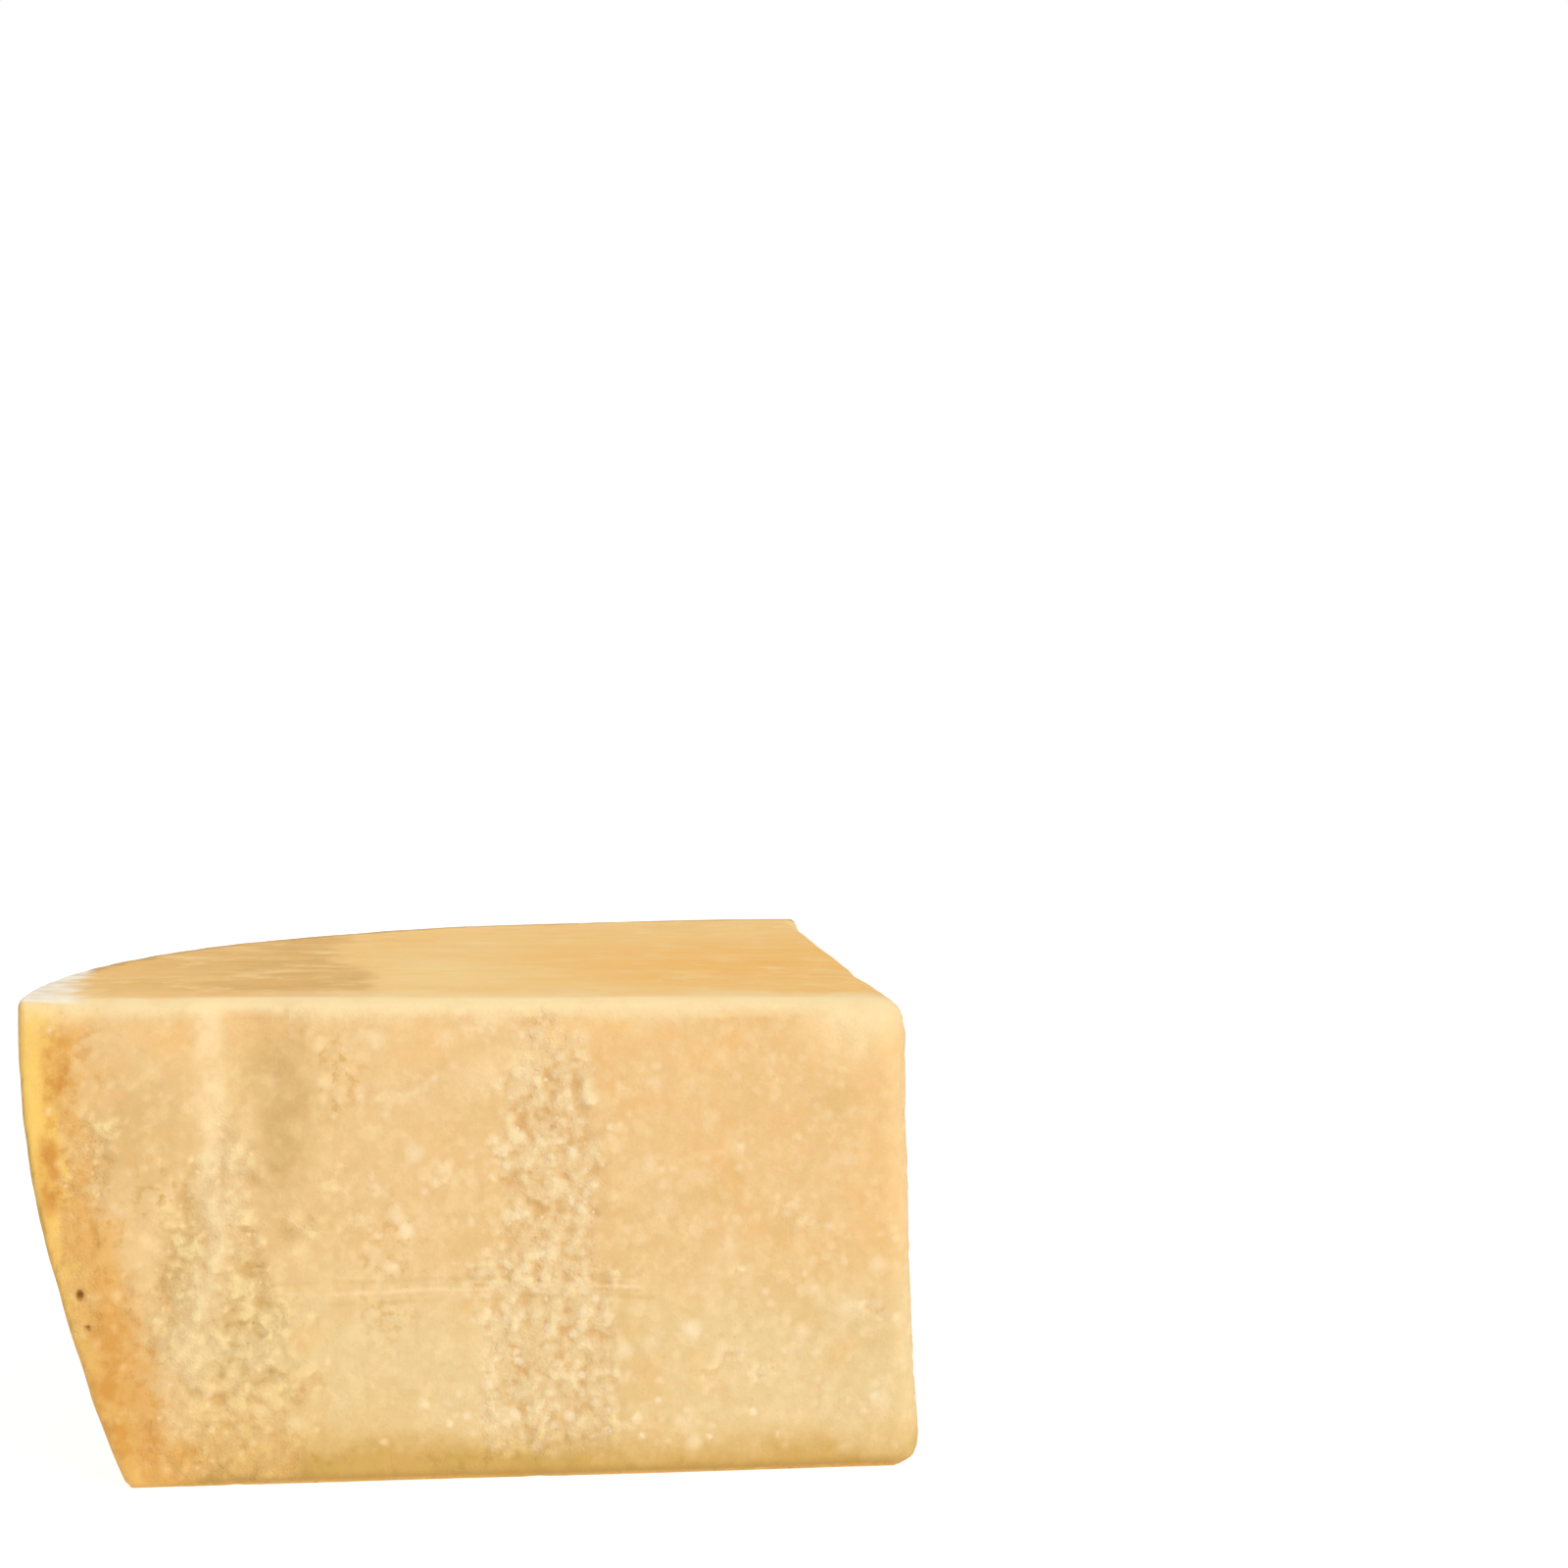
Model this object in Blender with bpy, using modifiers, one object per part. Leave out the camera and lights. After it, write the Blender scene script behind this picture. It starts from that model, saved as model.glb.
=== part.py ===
"""A chunk of hard, grainy cheese: an eighth of a wheel, lying on the wheel's own flat rind.

The wheel was cut across at half its height, and the half was then split into quarters. The front (-Y) and
the right (+X) are split faces that meet at the wheel's heart, the top is the smooth cut at half height, and
the left and the back are the round rind. While the chunk is made, the wheel's axis stands at x = 0, y = 0. At
the end the chunk is moved so that its origin lies under the middle of its box.
"""

import math
from collections import namedtuple

import bmesh
import bpy
from mathutils import Vector, noise

# The body, in metres.
WHEEL_RADIUS = 0.200  # a wheel 40 cm across where it is widest
HEART_HEIGHT = 0.1087  # height at the wheel's axis: half of a wheel 22 cm high
FRONT_CORNER_RISE = 0.0028  # how much higher the top is where the front meets the rind
BACK_CORNER_RISE = 0.0006  # and where the right face meets the rind
BELLY_HEIGHT = 0.095  # the rind stands widest from here up
FOOT_INSET = 0.0228  # it draws in by this much from there down to the foot
INSET_POWER = 1.66  # along a curve of this power
HEART_REACH = 0.0013  # the right face stands out past the wheel's axis by this much
HEART_LEAN = 0.0036  # and by this much more at its foot

# Wear along the edges: the radius of each.
RIND_EDGE_RADIUS = 0.0020  # where the hard rind holds the edge, and along the foot of the front
CUT_EDGE_RADIUS = 0.0040  # between the front and the cut
HEART_EDGE_RADIUS = 0.0065  # round the right face
HARD_RIM_WIDTH = 0.012  # how far in from the rind its hardness keeps an edge crisp
SHARP_ANGLE = math.radians(35)  # edges flatter than this are facets of the round rind
FLAT_ANGLE = math.radians(0.2)  # and flatter than this they only cross a flat face

# Fineness of the making.
RIND_STEPS = 16
ARC_STEPS = 48
WELD_DISTANCE = 1e-6  # points of the section that lie on the axis meet here
BEVEL_SEGMENTS = 4
GRID_DIGITS = 6  # the plain body's points lie on a grid of a thousandth of a millimetre
CELL = 0.0016  # the even cells that take the relief
MOST_TRIANGLES = 9000

# Relief of the split faces. A place on one is given by its distance from the wheel's axis and its height.
SLOW_SIZE = 0.055
SLOW_DEPTH = 0.0011
GRAIN_SIZES = (0.0048, 0.0031)
GRAIN_SHARES = (0.60, 0.40)
GRAIN_DEPTH = 0.0016
QUIET_SHARE = 0.07  # share of the grains' depth that is left between the coarse columns
CREASE = 9.0  # how sharply one grain ends and the next begins
SHAKE = 0.30  # how far noise shakes a place before it looks for its grain
CENTRE_STEP = 100.0  # grains this many times as far apart draw heights of their own
HEIGHT_SHARE = 0.5  # how much of a grain's rise is its own height
DOME = 1.5  # how round the top of a grain is
DOME_MIDDLE = 0.5  # taken off the domes, so that a crumbly face doesn't rise as a whole
RAGGED_SIZE = 0.011
RAGGED_SHARE = 0.45
FINE_RAGGED_SIZE = 0.0035
FINE_RAGGED_SHARE = 0.25
COLUMN_SINK = 0.0006  # a coarse column lies this much deeper than the smooth paste beside it
COLUMN_WANDER = 0.005
WANDER_SIZE = 0.022
COLUMN_FADE = 0.018
COLUMN_EDGE = (0.1, 0.6)  # the crumb is gone at the first strength, and full at the second

# A column of coarse crumbs, where the paste broke between its grains.
Column = namedtuple("Column", "axis_distance top_half_width foot_half_width low high")
FRONT_COLUMNS = (
    Column(0.151, 0.011, 0.029, -0.02, 0.080),
    Column(0.081, 0.014, 0.026, 0.004, 0.101),
    Column(0.181, 0.009, 0.008, 0.034, 0.082),
    Column(0.116, 0.009, 0.011, 0.034, 0.060),
    Column(0.128, 0.008, 0.008, 0.084, 0.102),
)
RIGHT_COLUMNS = (
    Column(0.052, 0.013, 0.021, 0.008, 0.092),
    Column(0.128, 0.016, 0.032, -0.02, 0.066),
    Column(0.092, 0.010, 0.009, 0.060, 0.084),
    Column(0.170, 0.009, 0.008, 0.040, 0.078),
)

# A groove that runs down from the top, with a steep flank towards the rind and a wide one towards the heart.
Groove = namedtuple("Groove", "axis_distance depth rind_flank heart_flank low high")
FRONT_GROOVES = (Groove(0.1525, 0.0030, 0.011, 0.021, 0.040, 0.135),)
RIGHT_GROOVES = (Groove(0.066, 0.0016, 0.012, 0.024, 0.028, 0.125),)
GROOVE_WANDER = 0.0035
GROOVE_WANDER_SIZE = 0.016

# A low crest between two places, highest in the middle and gone at both ends.
Crest = namedtuple("Crest", "start end half_width rise")
FRONT_CRESTS = (
    Crest((0.147, 0.092), (0.168, 0.008), 0.0075, 0.0011),
    Crest((0.106, 0.090), (0.068, 0.105), 0.0065, 0.0008),
)
RIGHT_CRESTS = (Crest((0.088, 0.030), (0.160, 0.098), 0.0120, 0.0012),)

# A chip that has broken away along the foot.
Chip = namedtuple("Chip", "axis_distance half_width half_height")
FRONT_CHIPS = (Chip(0.1525, 0.0042, 0.0030), Chip(0.0840, 0.0034, 0.0022))
RIGHT_CHIPS = (Chip(0.1180, 0.0045, 0.0030), Chip(0.0610, 0.0030, 0.0024))
CHIP_DEPTH = 0.0016

# Relief of the rind and of the smooth top.
RIND_WAVE_SIZE = 0.040
RIND_WAVE_DEPTH = 0.0008
RIND_TURN = (0.3, 0.9)  # how squarely a point faces away from the axis where the rind begins, and is full
RIND_REACH = (0.5, 0.8)  # and how far out it lies, as a share of the wheel's radius
TOP_WAVE_SIZE = 0.070
TOP_WAVE_DEPTH = 0.0005
FLAT_FOOT = 0.0004  # what lies this low after the relief is pressed flat on the ground

# The noise has one seed, and each face draws it from a place of its own.
SEED = 20
Face = namedtuple("Face", "draw columns grooves crests chips")
FRONT = Face(Vector((11.3, 4.7, 2.1)), FRONT_COLUMNS, FRONT_GROOVES, FRONT_CRESTS, FRONT_CHIPS)
RIGHT = Face(Vector((37.9, 8.2, 5.6)), RIGHT_COLUMNS, RIGHT_GROOVES, RIGHT_CRESTS, RIGHT_CHIPS)
RIND_DRAW = Vector((61.4, 1.9, 7.3))
TOP_DRAW = Vector((83.2, 6.5, 3.8))

PASTE_COLOUR = (0.863, 0.571, 0.266, 1.0)
PASTE_ROUGHNESS = 0.6

X_AXIS = Vector((1, 0, 0))
Y_AXIS = Vector((0, 1, 0))
Z_AXIS = Vector((0, 0, 1))


def clear_scene():
    for obj in list(bpy.data.objects):
        bpy.data.objects.remove(obj)


def smooth_step(value, low, high):
    """0 below low, 1 above high, and a smooth rise between them."""
    t = min(1.0, max(0.0, (value - low) / (high - low)))
    return t * t * (3.0 - 2.0 * t)


def hump(distance, width):
    """1 at no distance, falling smoothly to 0 at width on either side."""
    return 1.0 - smooth_step(abs(distance), 0.0, width)


# The body


def rind_inset(height):
    """How far the rind stands in from the wheel's full radius at a height."""
    below_belly = max(0.0, BELLY_HEIGHT - height) / BELLY_HEIGHT
    return FOOT_INSET * below_belly**INSET_POWER


def section_points():
    """The section through half the wheel: out along the foot, up the rind, and back along the cut."""
    heights = [HEART_HEIGHT * step / RIND_STEPS for step in range(RIND_STEPS + 1)]
    rind = [(rind_inset(height) - WHEEL_RADIUS, 0.0, height) for height in heights]
    return [(0.0, 0.0, 0.0), *rind, (0.0, 0.0, HEART_HEIGHT)]


def settle(point):
    """The same point once the cut at the top slopes and the right face stands out and leans."""
    share_up = point.z / HEART_HEIGHT
    towards_front_corner = -point.x / WHEEL_RADIUS
    towards_back_corner = point.y / WHEEL_RADIUS
    rise = FRONT_CORNER_RISE * towards_front_corner + BACK_CORNER_RISE * towards_back_corner
    reach = (HEART_REACH + HEART_LEAN * (1.0 - share_up)) * (1.0 - towards_front_corner)
    return Vector((point.x + reach, point.y, point.z + rise * share_up))


def is_sharp(edge):
    """True for the edges between two kinds of face, and false for the facets of the rind."""
    return edge.calc_face_angle(0.0) > SHARP_ANGLE


def edge_radius(edge):
    """How far an edge is worn round."""
    middle = (edge.verts[0].co + edge.verts[1].co) / 2
    if not is_sharp(edge):
        return 0.0
    if middle.xy.length > WHEEL_RADIUS - FOOT_INSET - HARD_RIM_WIDTH:
        return RIND_EDGE_RADIUS
    if middle.x > -RIND_EDGE_RADIUS:
        return HEART_EDGE_RADIUS
    return CUT_EDGE_RADIUS if middle.z > HEART_HEIGHT / 2 else RIND_EDGE_RADIUS


def split_at_hard_rim(bm):
    """Splits each long edge that runs from the heart to the rind, where the hard rim begins."""
    for edge in [edge for edge in bm.edges if edge.calc_length() > WHEEL_RADIUS / 2 and is_sharp(edge)]:
        heart_end = min(edge.verts, key=lambda vert: vert.co.xy.length)
        bmesh.utils.edge_split(edge, heart_end, 1.0 - HARD_RIM_WIDTH / edge.calc_length())


def quarter_turn():
    """The section turned a quarter of the way round the wheel's axis, with the wear of its edges marked."""
    bm = bmesh.new()
    section = bm.faces.new([bm.verts.new(point) for point in section_points()])
    bmesh.ops.spin(bm, geom=[section], cent=(0, 0, 0), axis=Z_AXIS, angle=-math.pi / 2, steps=ARC_STEPS)
    bmesh.ops.remove_doubles(bm, verts=bm.verts, dist=WELD_DISTANCE)
    bmesh.ops.dissolve_limit(bm, angle_limit=FLAT_ANGLE, verts=bm.verts, edges=bm.edges)
    bmesh.ops.recalc_face_normals(bm, faces=bm.faces)
    split_at_hard_rim(bm)
    weight = bm.edges.layers.float.new("bevel_weight_edge")
    for edge in bm.edges:
        edge[weight] = edge_radius(edge) / HEART_EDGE_RADIUS
    for vert in bm.verts:
        vert.co = settle(vert.co)
    mesh = bpy.data.meshes.new("cheese_chunk")
    bm.to_mesh(mesh)
    bm.free()
    return mesh


def worn_body():
    """The plain body with its edges rounded."""
    body = bpy.data.objects.new("plain_body", quarter_turn())
    bpy.context.collection.objects.link(body)
    wear = body.modifiers.new("edge_wear", "BEVEL")
    wear.width = HEART_EDGE_RADIUS
    wear.use_clamp_overlap = False  # the short facets of the rind would keep every radius small
    wear.segments = BEVEL_SEGMENTS
    wear.limit_method = "WEIGHT"
    return take_mesh(body)


def from_lowest(corners):
    """The corners of a face in their order round it, starting at the lowest number."""
    start = corners.index(min(corners))
    return corners[start:] + corners[:start]


def put_in_order(mesh):
    """Sorts the faces and puts the points on a grid, because the rounding of the edges mixes them up."""
    points = [[round(value, GRID_DIGITS) for value in vert.co] for vert in mesh.vertices]
    faces = sorted(from_lowest(list(face.vertices)) for face in mesh.polygons)
    mesh.clear_geometry()
    mesh.from_pydata(points, [], faces)


def split_into_cells(mesh):
    """The same form as a mesh of even cells."""
    body = bpy.data.objects.new("body_of_cells", mesh)
    bpy.context.collection.objects.link(body)
    cells = body.modifiers.new("even_cells", "REMESH")
    cells.mode = "VOXEL"
    cells.voxel_size = CELL
    return take_mesh(body)


def take_mesh(obj):
    """The object's mesh with its modifiers done. The object itself is removed."""
    graph = bpy.context.evaluated_depsgraph_get()
    mesh = bpy.data.meshes.new_from_object(obj.evaluated_get(graph))
    bpy.data.objects.remove(obj)
    return mesh


# The relief


def pebbles(place, size):
    """Grains of paste of about one size: 1 on top of a high one, -1 in the hole where one is missing."""
    here = place / size
    distances, centres = noise.voronoi(here + SHAKE * noise.noise_vector(here))
    weights = [math.exp(CREASE * (distances[0] - distance)) for distance in distances]
    heights = [noise.cell(CENTRE_STEP * centre) for centre in centres]
    level = sum(weight * height for weight, height in zip(weights, heights)) / sum(weights)
    dome = 1.0 - DOME * distances[0] ** 2
    return HEIGHT_SHARE * level + dome - DOME_MIDDLE


def crumb(place):
    """Grains of all sizes together, from about -1 in a gap to 1 on a crest."""
    return sum(share * pebbles(place, size) for size, share in zip(GRAIN_SIZES, GRAIN_SHARES))


def column_strength(column, distance, height, draw):
    """How coarse the crumb is here: 1 in the middle of the column, 0 outside its ragged edge."""
    place = Vector((distance, 0.0, height))
    wander = COLUMN_WANDER * noise.noise(draw + Z_AXIS * (height / WANDER_SIZE))
    share_up = min(1.0, max(0.0, height / column.high))
    half_width = column.foot_half_width + (column.top_half_width - column.foot_half_width) * share_up
    across = hump(distance - column.axis_distance - wander, half_width)
    rising = smooth_step(height, column.low - COLUMN_FADE / 2, column.low + COLUMN_FADE / 2)
    falling = 1.0 - smooth_step(height, column.high - COLUMN_FADE / 2, column.high + COLUMN_FADE / 2)
    ragged = RAGGED_SHARE * noise.noise(draw + place / RAGGED_SIZE)
    ragged += FINE_RAGGED_SHARE * noise.noise(draw + place / FINE_RAGGED_SIZE)
    return smooth_step(across * rising * falling + ragged, *COLUMN_EDGE)


def groove_depth(groove, distance, height, draw):
    wander = GROOVE_WANDER * noise.noise(draw - Z_AXIS * (height / GROOVE_WANDER_SIZE))
    aside = distance - groove.axis_distance - wander
    flank = groove.rind_flank if aside > 0 else groove.heart_flank
    return groove.depth * hump(aside, flank) * smooth_step(height, groove.low, groove.high)


def crest_rise(crest, distance, height):
    start = Vector(crest.start)
    run = Vector(crest.end) - start
    here = Vector((distance, height)) - start
    along = min(1.0, max(0.0, here.dot(run) / run.length_squared))
    fading = math.sin(math.pi * along)
    return crest.rise * fading * hump((here - run * along).length, crest.half_width)


def chip_depth(chip, distance, height):
    across = (distance - chip.axis_distance) / chip.half_width
    return CHIP_DEPTH * hump(math.hypot(across, height / chip.half_height), 1.0)


def split_relief(face, distance, height):
    """How far a split face stands out at a distance from the wheel's axis and a height."""
    place = Vector((distance, 0.0, height))
    slow = SLOW_DEPTH * noise.noise(face.draw + place / SLOW_SIZE)
    coarse = max(column_strength(column, distance, height, face.draw) for column in face.columns)
    grain = GRAIN_DEPTH * (QUIET_SHARE + (1.0 - QUIET_SHARE) * coarse) * crumb(face.draw + place)
    raised = sum(crest_rise(crest, distance, height) for crest in face.crests)
    sunk = COLUMN_SINK * coarse + sum(chip_depth(chip, distance, height) for chip in face.chips)
    sunk += sum(groove_depth(groove, distance, height, face.draw) for groove in face.grooves)
    return slow + grain + raised - sunk


def relief(point, normal):
    """The move that the relief gives to a point of the plain body."""
    outwards = Vector((point.x, point.y, 0.0)).normalized()
    on_front = max(0.0, -normal.y)
    on_right = max(0.0, normal.x)
    on_top = max(0.0, normal.z)
    far_out = smooth_step(point.xy.length / WHEEL_RADIUS, *RIND_REACH)
    on_rind = smooth_step(normal.dot(outwards), *RIND_TURN) * far_out
    move = Vector((0.0, 0.0, 0.0))
    if on_front:
        move -= Y_AXIS * on_front * split_relief(FRONT, -point.x, point.z)
    if on_right:
        move += X_AXIS * on_right * split_relief(RIGHT, point.y, point.z)
    if on_top:
        move += Z_AXIS * on_top * TOP_WAVE_DEPTH * noise.noise(TOP_DRAW + point / TOP_WAVE_SIZE)
    if on_rind:
        move += outwards * on_rind * RIND_WAVE_DEPTH * noise.noise(RIND_DRAW + point / RIND_WAVE_SIZE)
    return move


def carve(mesh):
    """Gives every point its relief."""
    moves = [relief(vert.co, vert.normal) for vert in mesh.vertices]
    for vert, move in zip(mesh.vertices, moves):
        vert.co += move


def thin_out(mesh):
    """The same form with few triangles, spent where the surface bends."""
    mesh.calc_loop_triangles()
    dense = bpy.data.objects.new("dense_body", mesh)
    bpy.context.collection.objects.link(dense)
    thinner = dense.modifiers.new("fewer_triangles", "DECIMATE")
    thinner.ratio = MOST_TRIANGLES / len(mesh.loop_triangles)
    thinner.use_collapse_triangulate = True
    return take_mesh(dense)


def set_down(mesh):
    """Presses the foot flat, and puts the origin under the middle of the chunk's box."""
    lowest = [min(vert.co[axis] for vert in mesh.vertices) for axis in range(3)]
    highest = [max(vert.co[axis] for vert in mesh.vertices) for axis in range(3)]
    middle = Vector(((lowest[0] + highest[0]) / 2, (lowest[1] + highest[1]) / 2, 0.0))
    for vert in mesh.vertices:
        vert.co -= middle
        if vert.co.z < FLAT_FOOT:
            vert.co.z = 0.0


def paste_material():
    material = bpy.data.materials.new("grana_paste")
    material.use_nodes = True
    shader = material.node_tree.nodes["Principled BSDF"]
    shader.inputs["Base Color"].default_value = PASTE_COLOUR
    shader.inputs["Roughness"].default_value = PASTE_ROUGHNESS
    shader.inputs["Metallic"].default_value = 0.0
    return material


def cheese_chunk():
    noise.seed_set(SEED)
    body = worn_body()
    put_in_order(body)
    mesh = split_into_cells(body)
    carve(mesh)
    mesh = thin_out(mesh)
    set_down(mesh)
    mesh.shade_smooth()
    mesh.materials.clear()
    mesh.materials.append(paste_material())
    return bpy.data.objects.new("cheese_chunk", mesh)


clear_scene()
collection = bpy.data.collections.new("hard_cheese_chunk")
bpy.context.scene.collection.children.link(collection)
collection.objects.link(cheese_chunk())
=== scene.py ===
# %% [markdown]
# # A chunk of grana on a pale table
#
# Grana is a hard cheese with a paste that breaks into grains. The chunk is an eighth of a wheel: the wheel
# was cut across at half its height, and the lower half was split into quarters. It has five kinds of
# surface, and each wants its own finish: two split faces with coarse crumbs, a smooth cut on top, a round
# waxy rind, and a flat rind below.
#
# The solid model gives the size and the place. It has few triangles, so this script makes the same chunk
# again from the same sizes, finely enough for the crumbs to show, and lets it stand in for the solid.

import math
from collections import namedtuple
from functools import partial, reduce

import bmesh
import bpy
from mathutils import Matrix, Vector, noise


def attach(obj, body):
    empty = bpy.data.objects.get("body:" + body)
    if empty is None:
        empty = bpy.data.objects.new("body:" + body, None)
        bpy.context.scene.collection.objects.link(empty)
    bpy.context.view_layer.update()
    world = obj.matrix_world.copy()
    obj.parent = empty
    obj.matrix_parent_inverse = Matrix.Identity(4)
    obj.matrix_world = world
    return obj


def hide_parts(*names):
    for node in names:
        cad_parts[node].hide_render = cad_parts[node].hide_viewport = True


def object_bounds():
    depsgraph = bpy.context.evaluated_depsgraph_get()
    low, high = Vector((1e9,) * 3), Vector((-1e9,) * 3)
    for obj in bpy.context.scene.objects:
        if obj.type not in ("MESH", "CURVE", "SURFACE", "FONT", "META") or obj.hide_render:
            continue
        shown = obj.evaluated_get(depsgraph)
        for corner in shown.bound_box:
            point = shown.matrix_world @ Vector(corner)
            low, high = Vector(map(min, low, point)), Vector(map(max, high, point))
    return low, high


NOISE_SEED = 20
noise.seed_set(NOISE_SEED)

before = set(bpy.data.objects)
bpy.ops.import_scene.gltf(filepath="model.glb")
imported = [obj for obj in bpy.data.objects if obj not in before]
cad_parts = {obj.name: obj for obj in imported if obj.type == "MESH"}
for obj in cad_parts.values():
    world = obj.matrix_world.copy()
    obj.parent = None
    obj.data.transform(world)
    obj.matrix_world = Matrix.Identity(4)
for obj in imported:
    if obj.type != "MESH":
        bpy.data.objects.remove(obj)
solid_low, solid_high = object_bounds()
print("solid chunk, mm:", [round(1000 * side, 1) for side in solid_high - solid_low])

# %% [markdown]
# ## The sizes of the chunk
#
# These are the driving sizes of the solid. They are written here again because a chunk made from other
# sizes would stand out of it, or sink into it. Everything is in metres. While the chunk is made, the axis
# of the wheel is at x = 0, y = 0. The front then lies along y = 0 and the right face along x = 0.

# %% Sizes and axes
WHEEL_RADIUS = 0.200
HEART_HEIGHT = 0.1087
FRONT_CORNER_RISE = 0.0028
BACK_CORNER_RISE = 0.0006
BELLY_HEIGHT = 0.095
FOOT_INSET = 0.0228
INSET_POWER = 1.66
HEART_REACH = 0.0013
HEART_LEAN = 0.0036
RIND_EDGE_RADIUS = 0.0020
CUT_EDGE_RADIUS = 0.0040
HEART_EDGE_RADIUS = 0.0065
HARD_RIM_WIDTH = 0.012

X_AXIS = Vector((1, 0, 0))
Y_AXIS = Vector((0, 1, 0))
Z_AXIS = Vector((0, 0, 1))


def smooth_step(value, low, high):
    """0 below low, 1 above high, and a smooth rise between them."""
    t = min(1.0, max(0.0, (value - low) / (high - low)))
    return t * t * (3.0 - 2.0 * t)


def hump(distance, width):
    """1 at no distance, falling smoothly to 0 at width on either side."""
    return 1.0 - smooth_step(abs(distance), 0.0, width)


def rind_inset(height):
    """How far the rind stands in from the wheel's full radius at a height."""
    below_belly = max(0.0, BELLY_HEIGHT - height) / BELLY_HEIGHT
    return FOOT_INSET * below_belly**INSET_POWER


print("the foot stands in by, mm:", 1000 * rind_inset(0.0))

# %% [markdown]
# ## The plain body
#
# A wheel is a turned shape, so its section is drawn once and turned. Only a quarter turn is needed, and the
# section itself then closes both ends: those are the split faces. A cut cylinder would have no belly on its
# rind.
#
# Real edges of cheese are never sharp, so each edge gets a bevel weight, which says how far it is worn:
# least where the hard rind holds it, more between the front and the cut, and most round the right face. The
# long edges are first split where the hard rim begins, so that their last centimetre can stay crisp.

# %% The section
RIND_STEPS = 16
ARC_STEPS = 48
WELD_DISTANCE = 1e-6
SHARP_ANGLE = math.radians(35)
FLAT_ANGLE = math.radians(0.2)


def section_points():
    """The section through half the wheel: out along the foot, up the rind, and back along the cut."""
    heights = [HEART_HEIGHT * step / RIND_STEPS for step in range(RIND_STEPS + 1)]
    rind = [(rind_inset(height) - WHEEL_RADIUS, 0.0, height) for height in heights]
    return [(0.0, 0.0, 0.0), *rind, (0.0, 0.0, HEART_HEIGHT)]


def settle(point):
    """The same point once the cut at the top slopes and the right face leans."""
    share_up = point.z / HEART_HEIGHT
    towards_front_corner = -point.x / WHEEL_RADIUS
    towards_back_corner = point.y / WHEEL_RADIUS
    rise = FRONT_CORNER_RISE * towards_front_corner + BACK_CORNER_RISE * towards_back_corner
    reach = (HEART_REACH + HEART_LEAN * (1.0 - share_up)) * (1.0 - towards_front_corner)
    return Vector((point.x + reach, point.y, point.z + rise * share_up))


# %% Wear the edges
def edge_middle(edge):
    return (edge.verts[0].co + edge.verts[1].co) / 2


def is_sharp(edge):
    """True for the edges between two kinds of face, and false for the facets of the rind."""
    return edge.calc_face_angle(0.0) > SHARP_ANGLE


def edge_radius(edge):
    """How far an edge is worn round."""
    middle = edge_middle(edge)
    if not is_sharp(edge):
        return 0.0
    if middle.xy.length > WHEEL_RADIUS - FOOT_INSET - HARD_RIM_WIDTH:
        return RIND_EDGE_RADIUS
    if middle.x > -RIND_EDGE_RADIUS:
        return HEART_EDGE_RADIUS
    return CUT_EDGE_RADIUS if middle.z > HEART_HEIGHT / 2 else RIND_EDGE_RADIUS


def split_at_hard_rim(bm):
    """Splits each long edge that runs from the heart to the rind, where the hard rim begins."""
    for edge in [edge for edge in bm.edges if edge.calc_length() > WHEEL_RADIUS / 2 and is_sharp(edge)]:
        heart_end = min(edge.verts, key=lambda vert: vert.co.xy.length)
        bmesh.utils.edge_split(edge, heart_end, 1.0 - HARD_RIM_WIDTH / edge.calc_length())


# %% Turn the section
def quarter_turn():
    bm = bmesh.new()
    section = bm.faces.new([bm.verts.new(point) for point in section_points()])
    bmesh.ops.spin(bm, geom=[section], cent=(0, 0, 0), axis=Z_AXIS, angle=-math.pi / 2, steps=ARC_STEPS)
    bmesh.ops.remove_doubles(bm, verts=bm.verts, dist=WELD_DISTANCE)
    bmesh.ops.dissolve_limit(bm, angle_limit=FLAT_ANGLE, verts=bm.verts, edges=bm.edges)
    bmesh.ops.recalc_face_normals(bm, faces=bm.faces)
    split_at_hard_rim(bm)
    weight = bm.edges.layers.float.new("bevel_weight_edge")
    for edge in bm.edges:
        edge[weight] = edge_radius(edge) / HEART_EDGE_RADIUS
    for vert in bm.verts:
        vert.co = settle(vert.co)
    mesh = bpy.data.meshes.new("plain_body")
    bm.to_mesh(mesh)
    bm.free()
    return mesh


# %% [markdown]
# ## Even cells for the crumbs
#
# Relief needs points to move, and this body has long empty faces. Subdividing them would crowd points at
# the wheel's axis and leave few at the rind. A voxel remesh covers every face with cells of one size, so a
# crumb keeps its size wherever it lies. The cells are under a millimetre, about half of the smallest grain.

# %% Round the edges and remesh
CELL = 0.00075
BEVEL_SEGMENTS = 5


def take_mesh(obj):
    """The object's mesh with its modifiers done. The object itself is removed."""
    graph = bpy.context.evaluated_depsgraph_get()
    mesh = bpy.data.meshes.new_from_object(obj.evaluated_get(graph))
    bpy.data.objects.remove(obj)
    return mesh


def worn_body():
    body = bpy.data.objects.new("plain_body", quarter_turn())
    bpy.context.collection.objects.link(body)
    wear = body.modifiers.new("edge_wear", "BEVEL")
    wear.width = HEART_EDGE_RADIUS
    wear.use_clamp_overlap = False
    wear.segments = BEVEL_SEGMENTS
    wear.limit_method = "WEIGHT"
    cells = body.modifiers.new("even_cells", "REMESH")
    cells.mode = "VOXEL"
    cells.voxel_size = CELL
    return take_mesh(body)


chunk_mesh = worn_body()
print("points to carve:", len(chunk_mesh.vertices))

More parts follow.
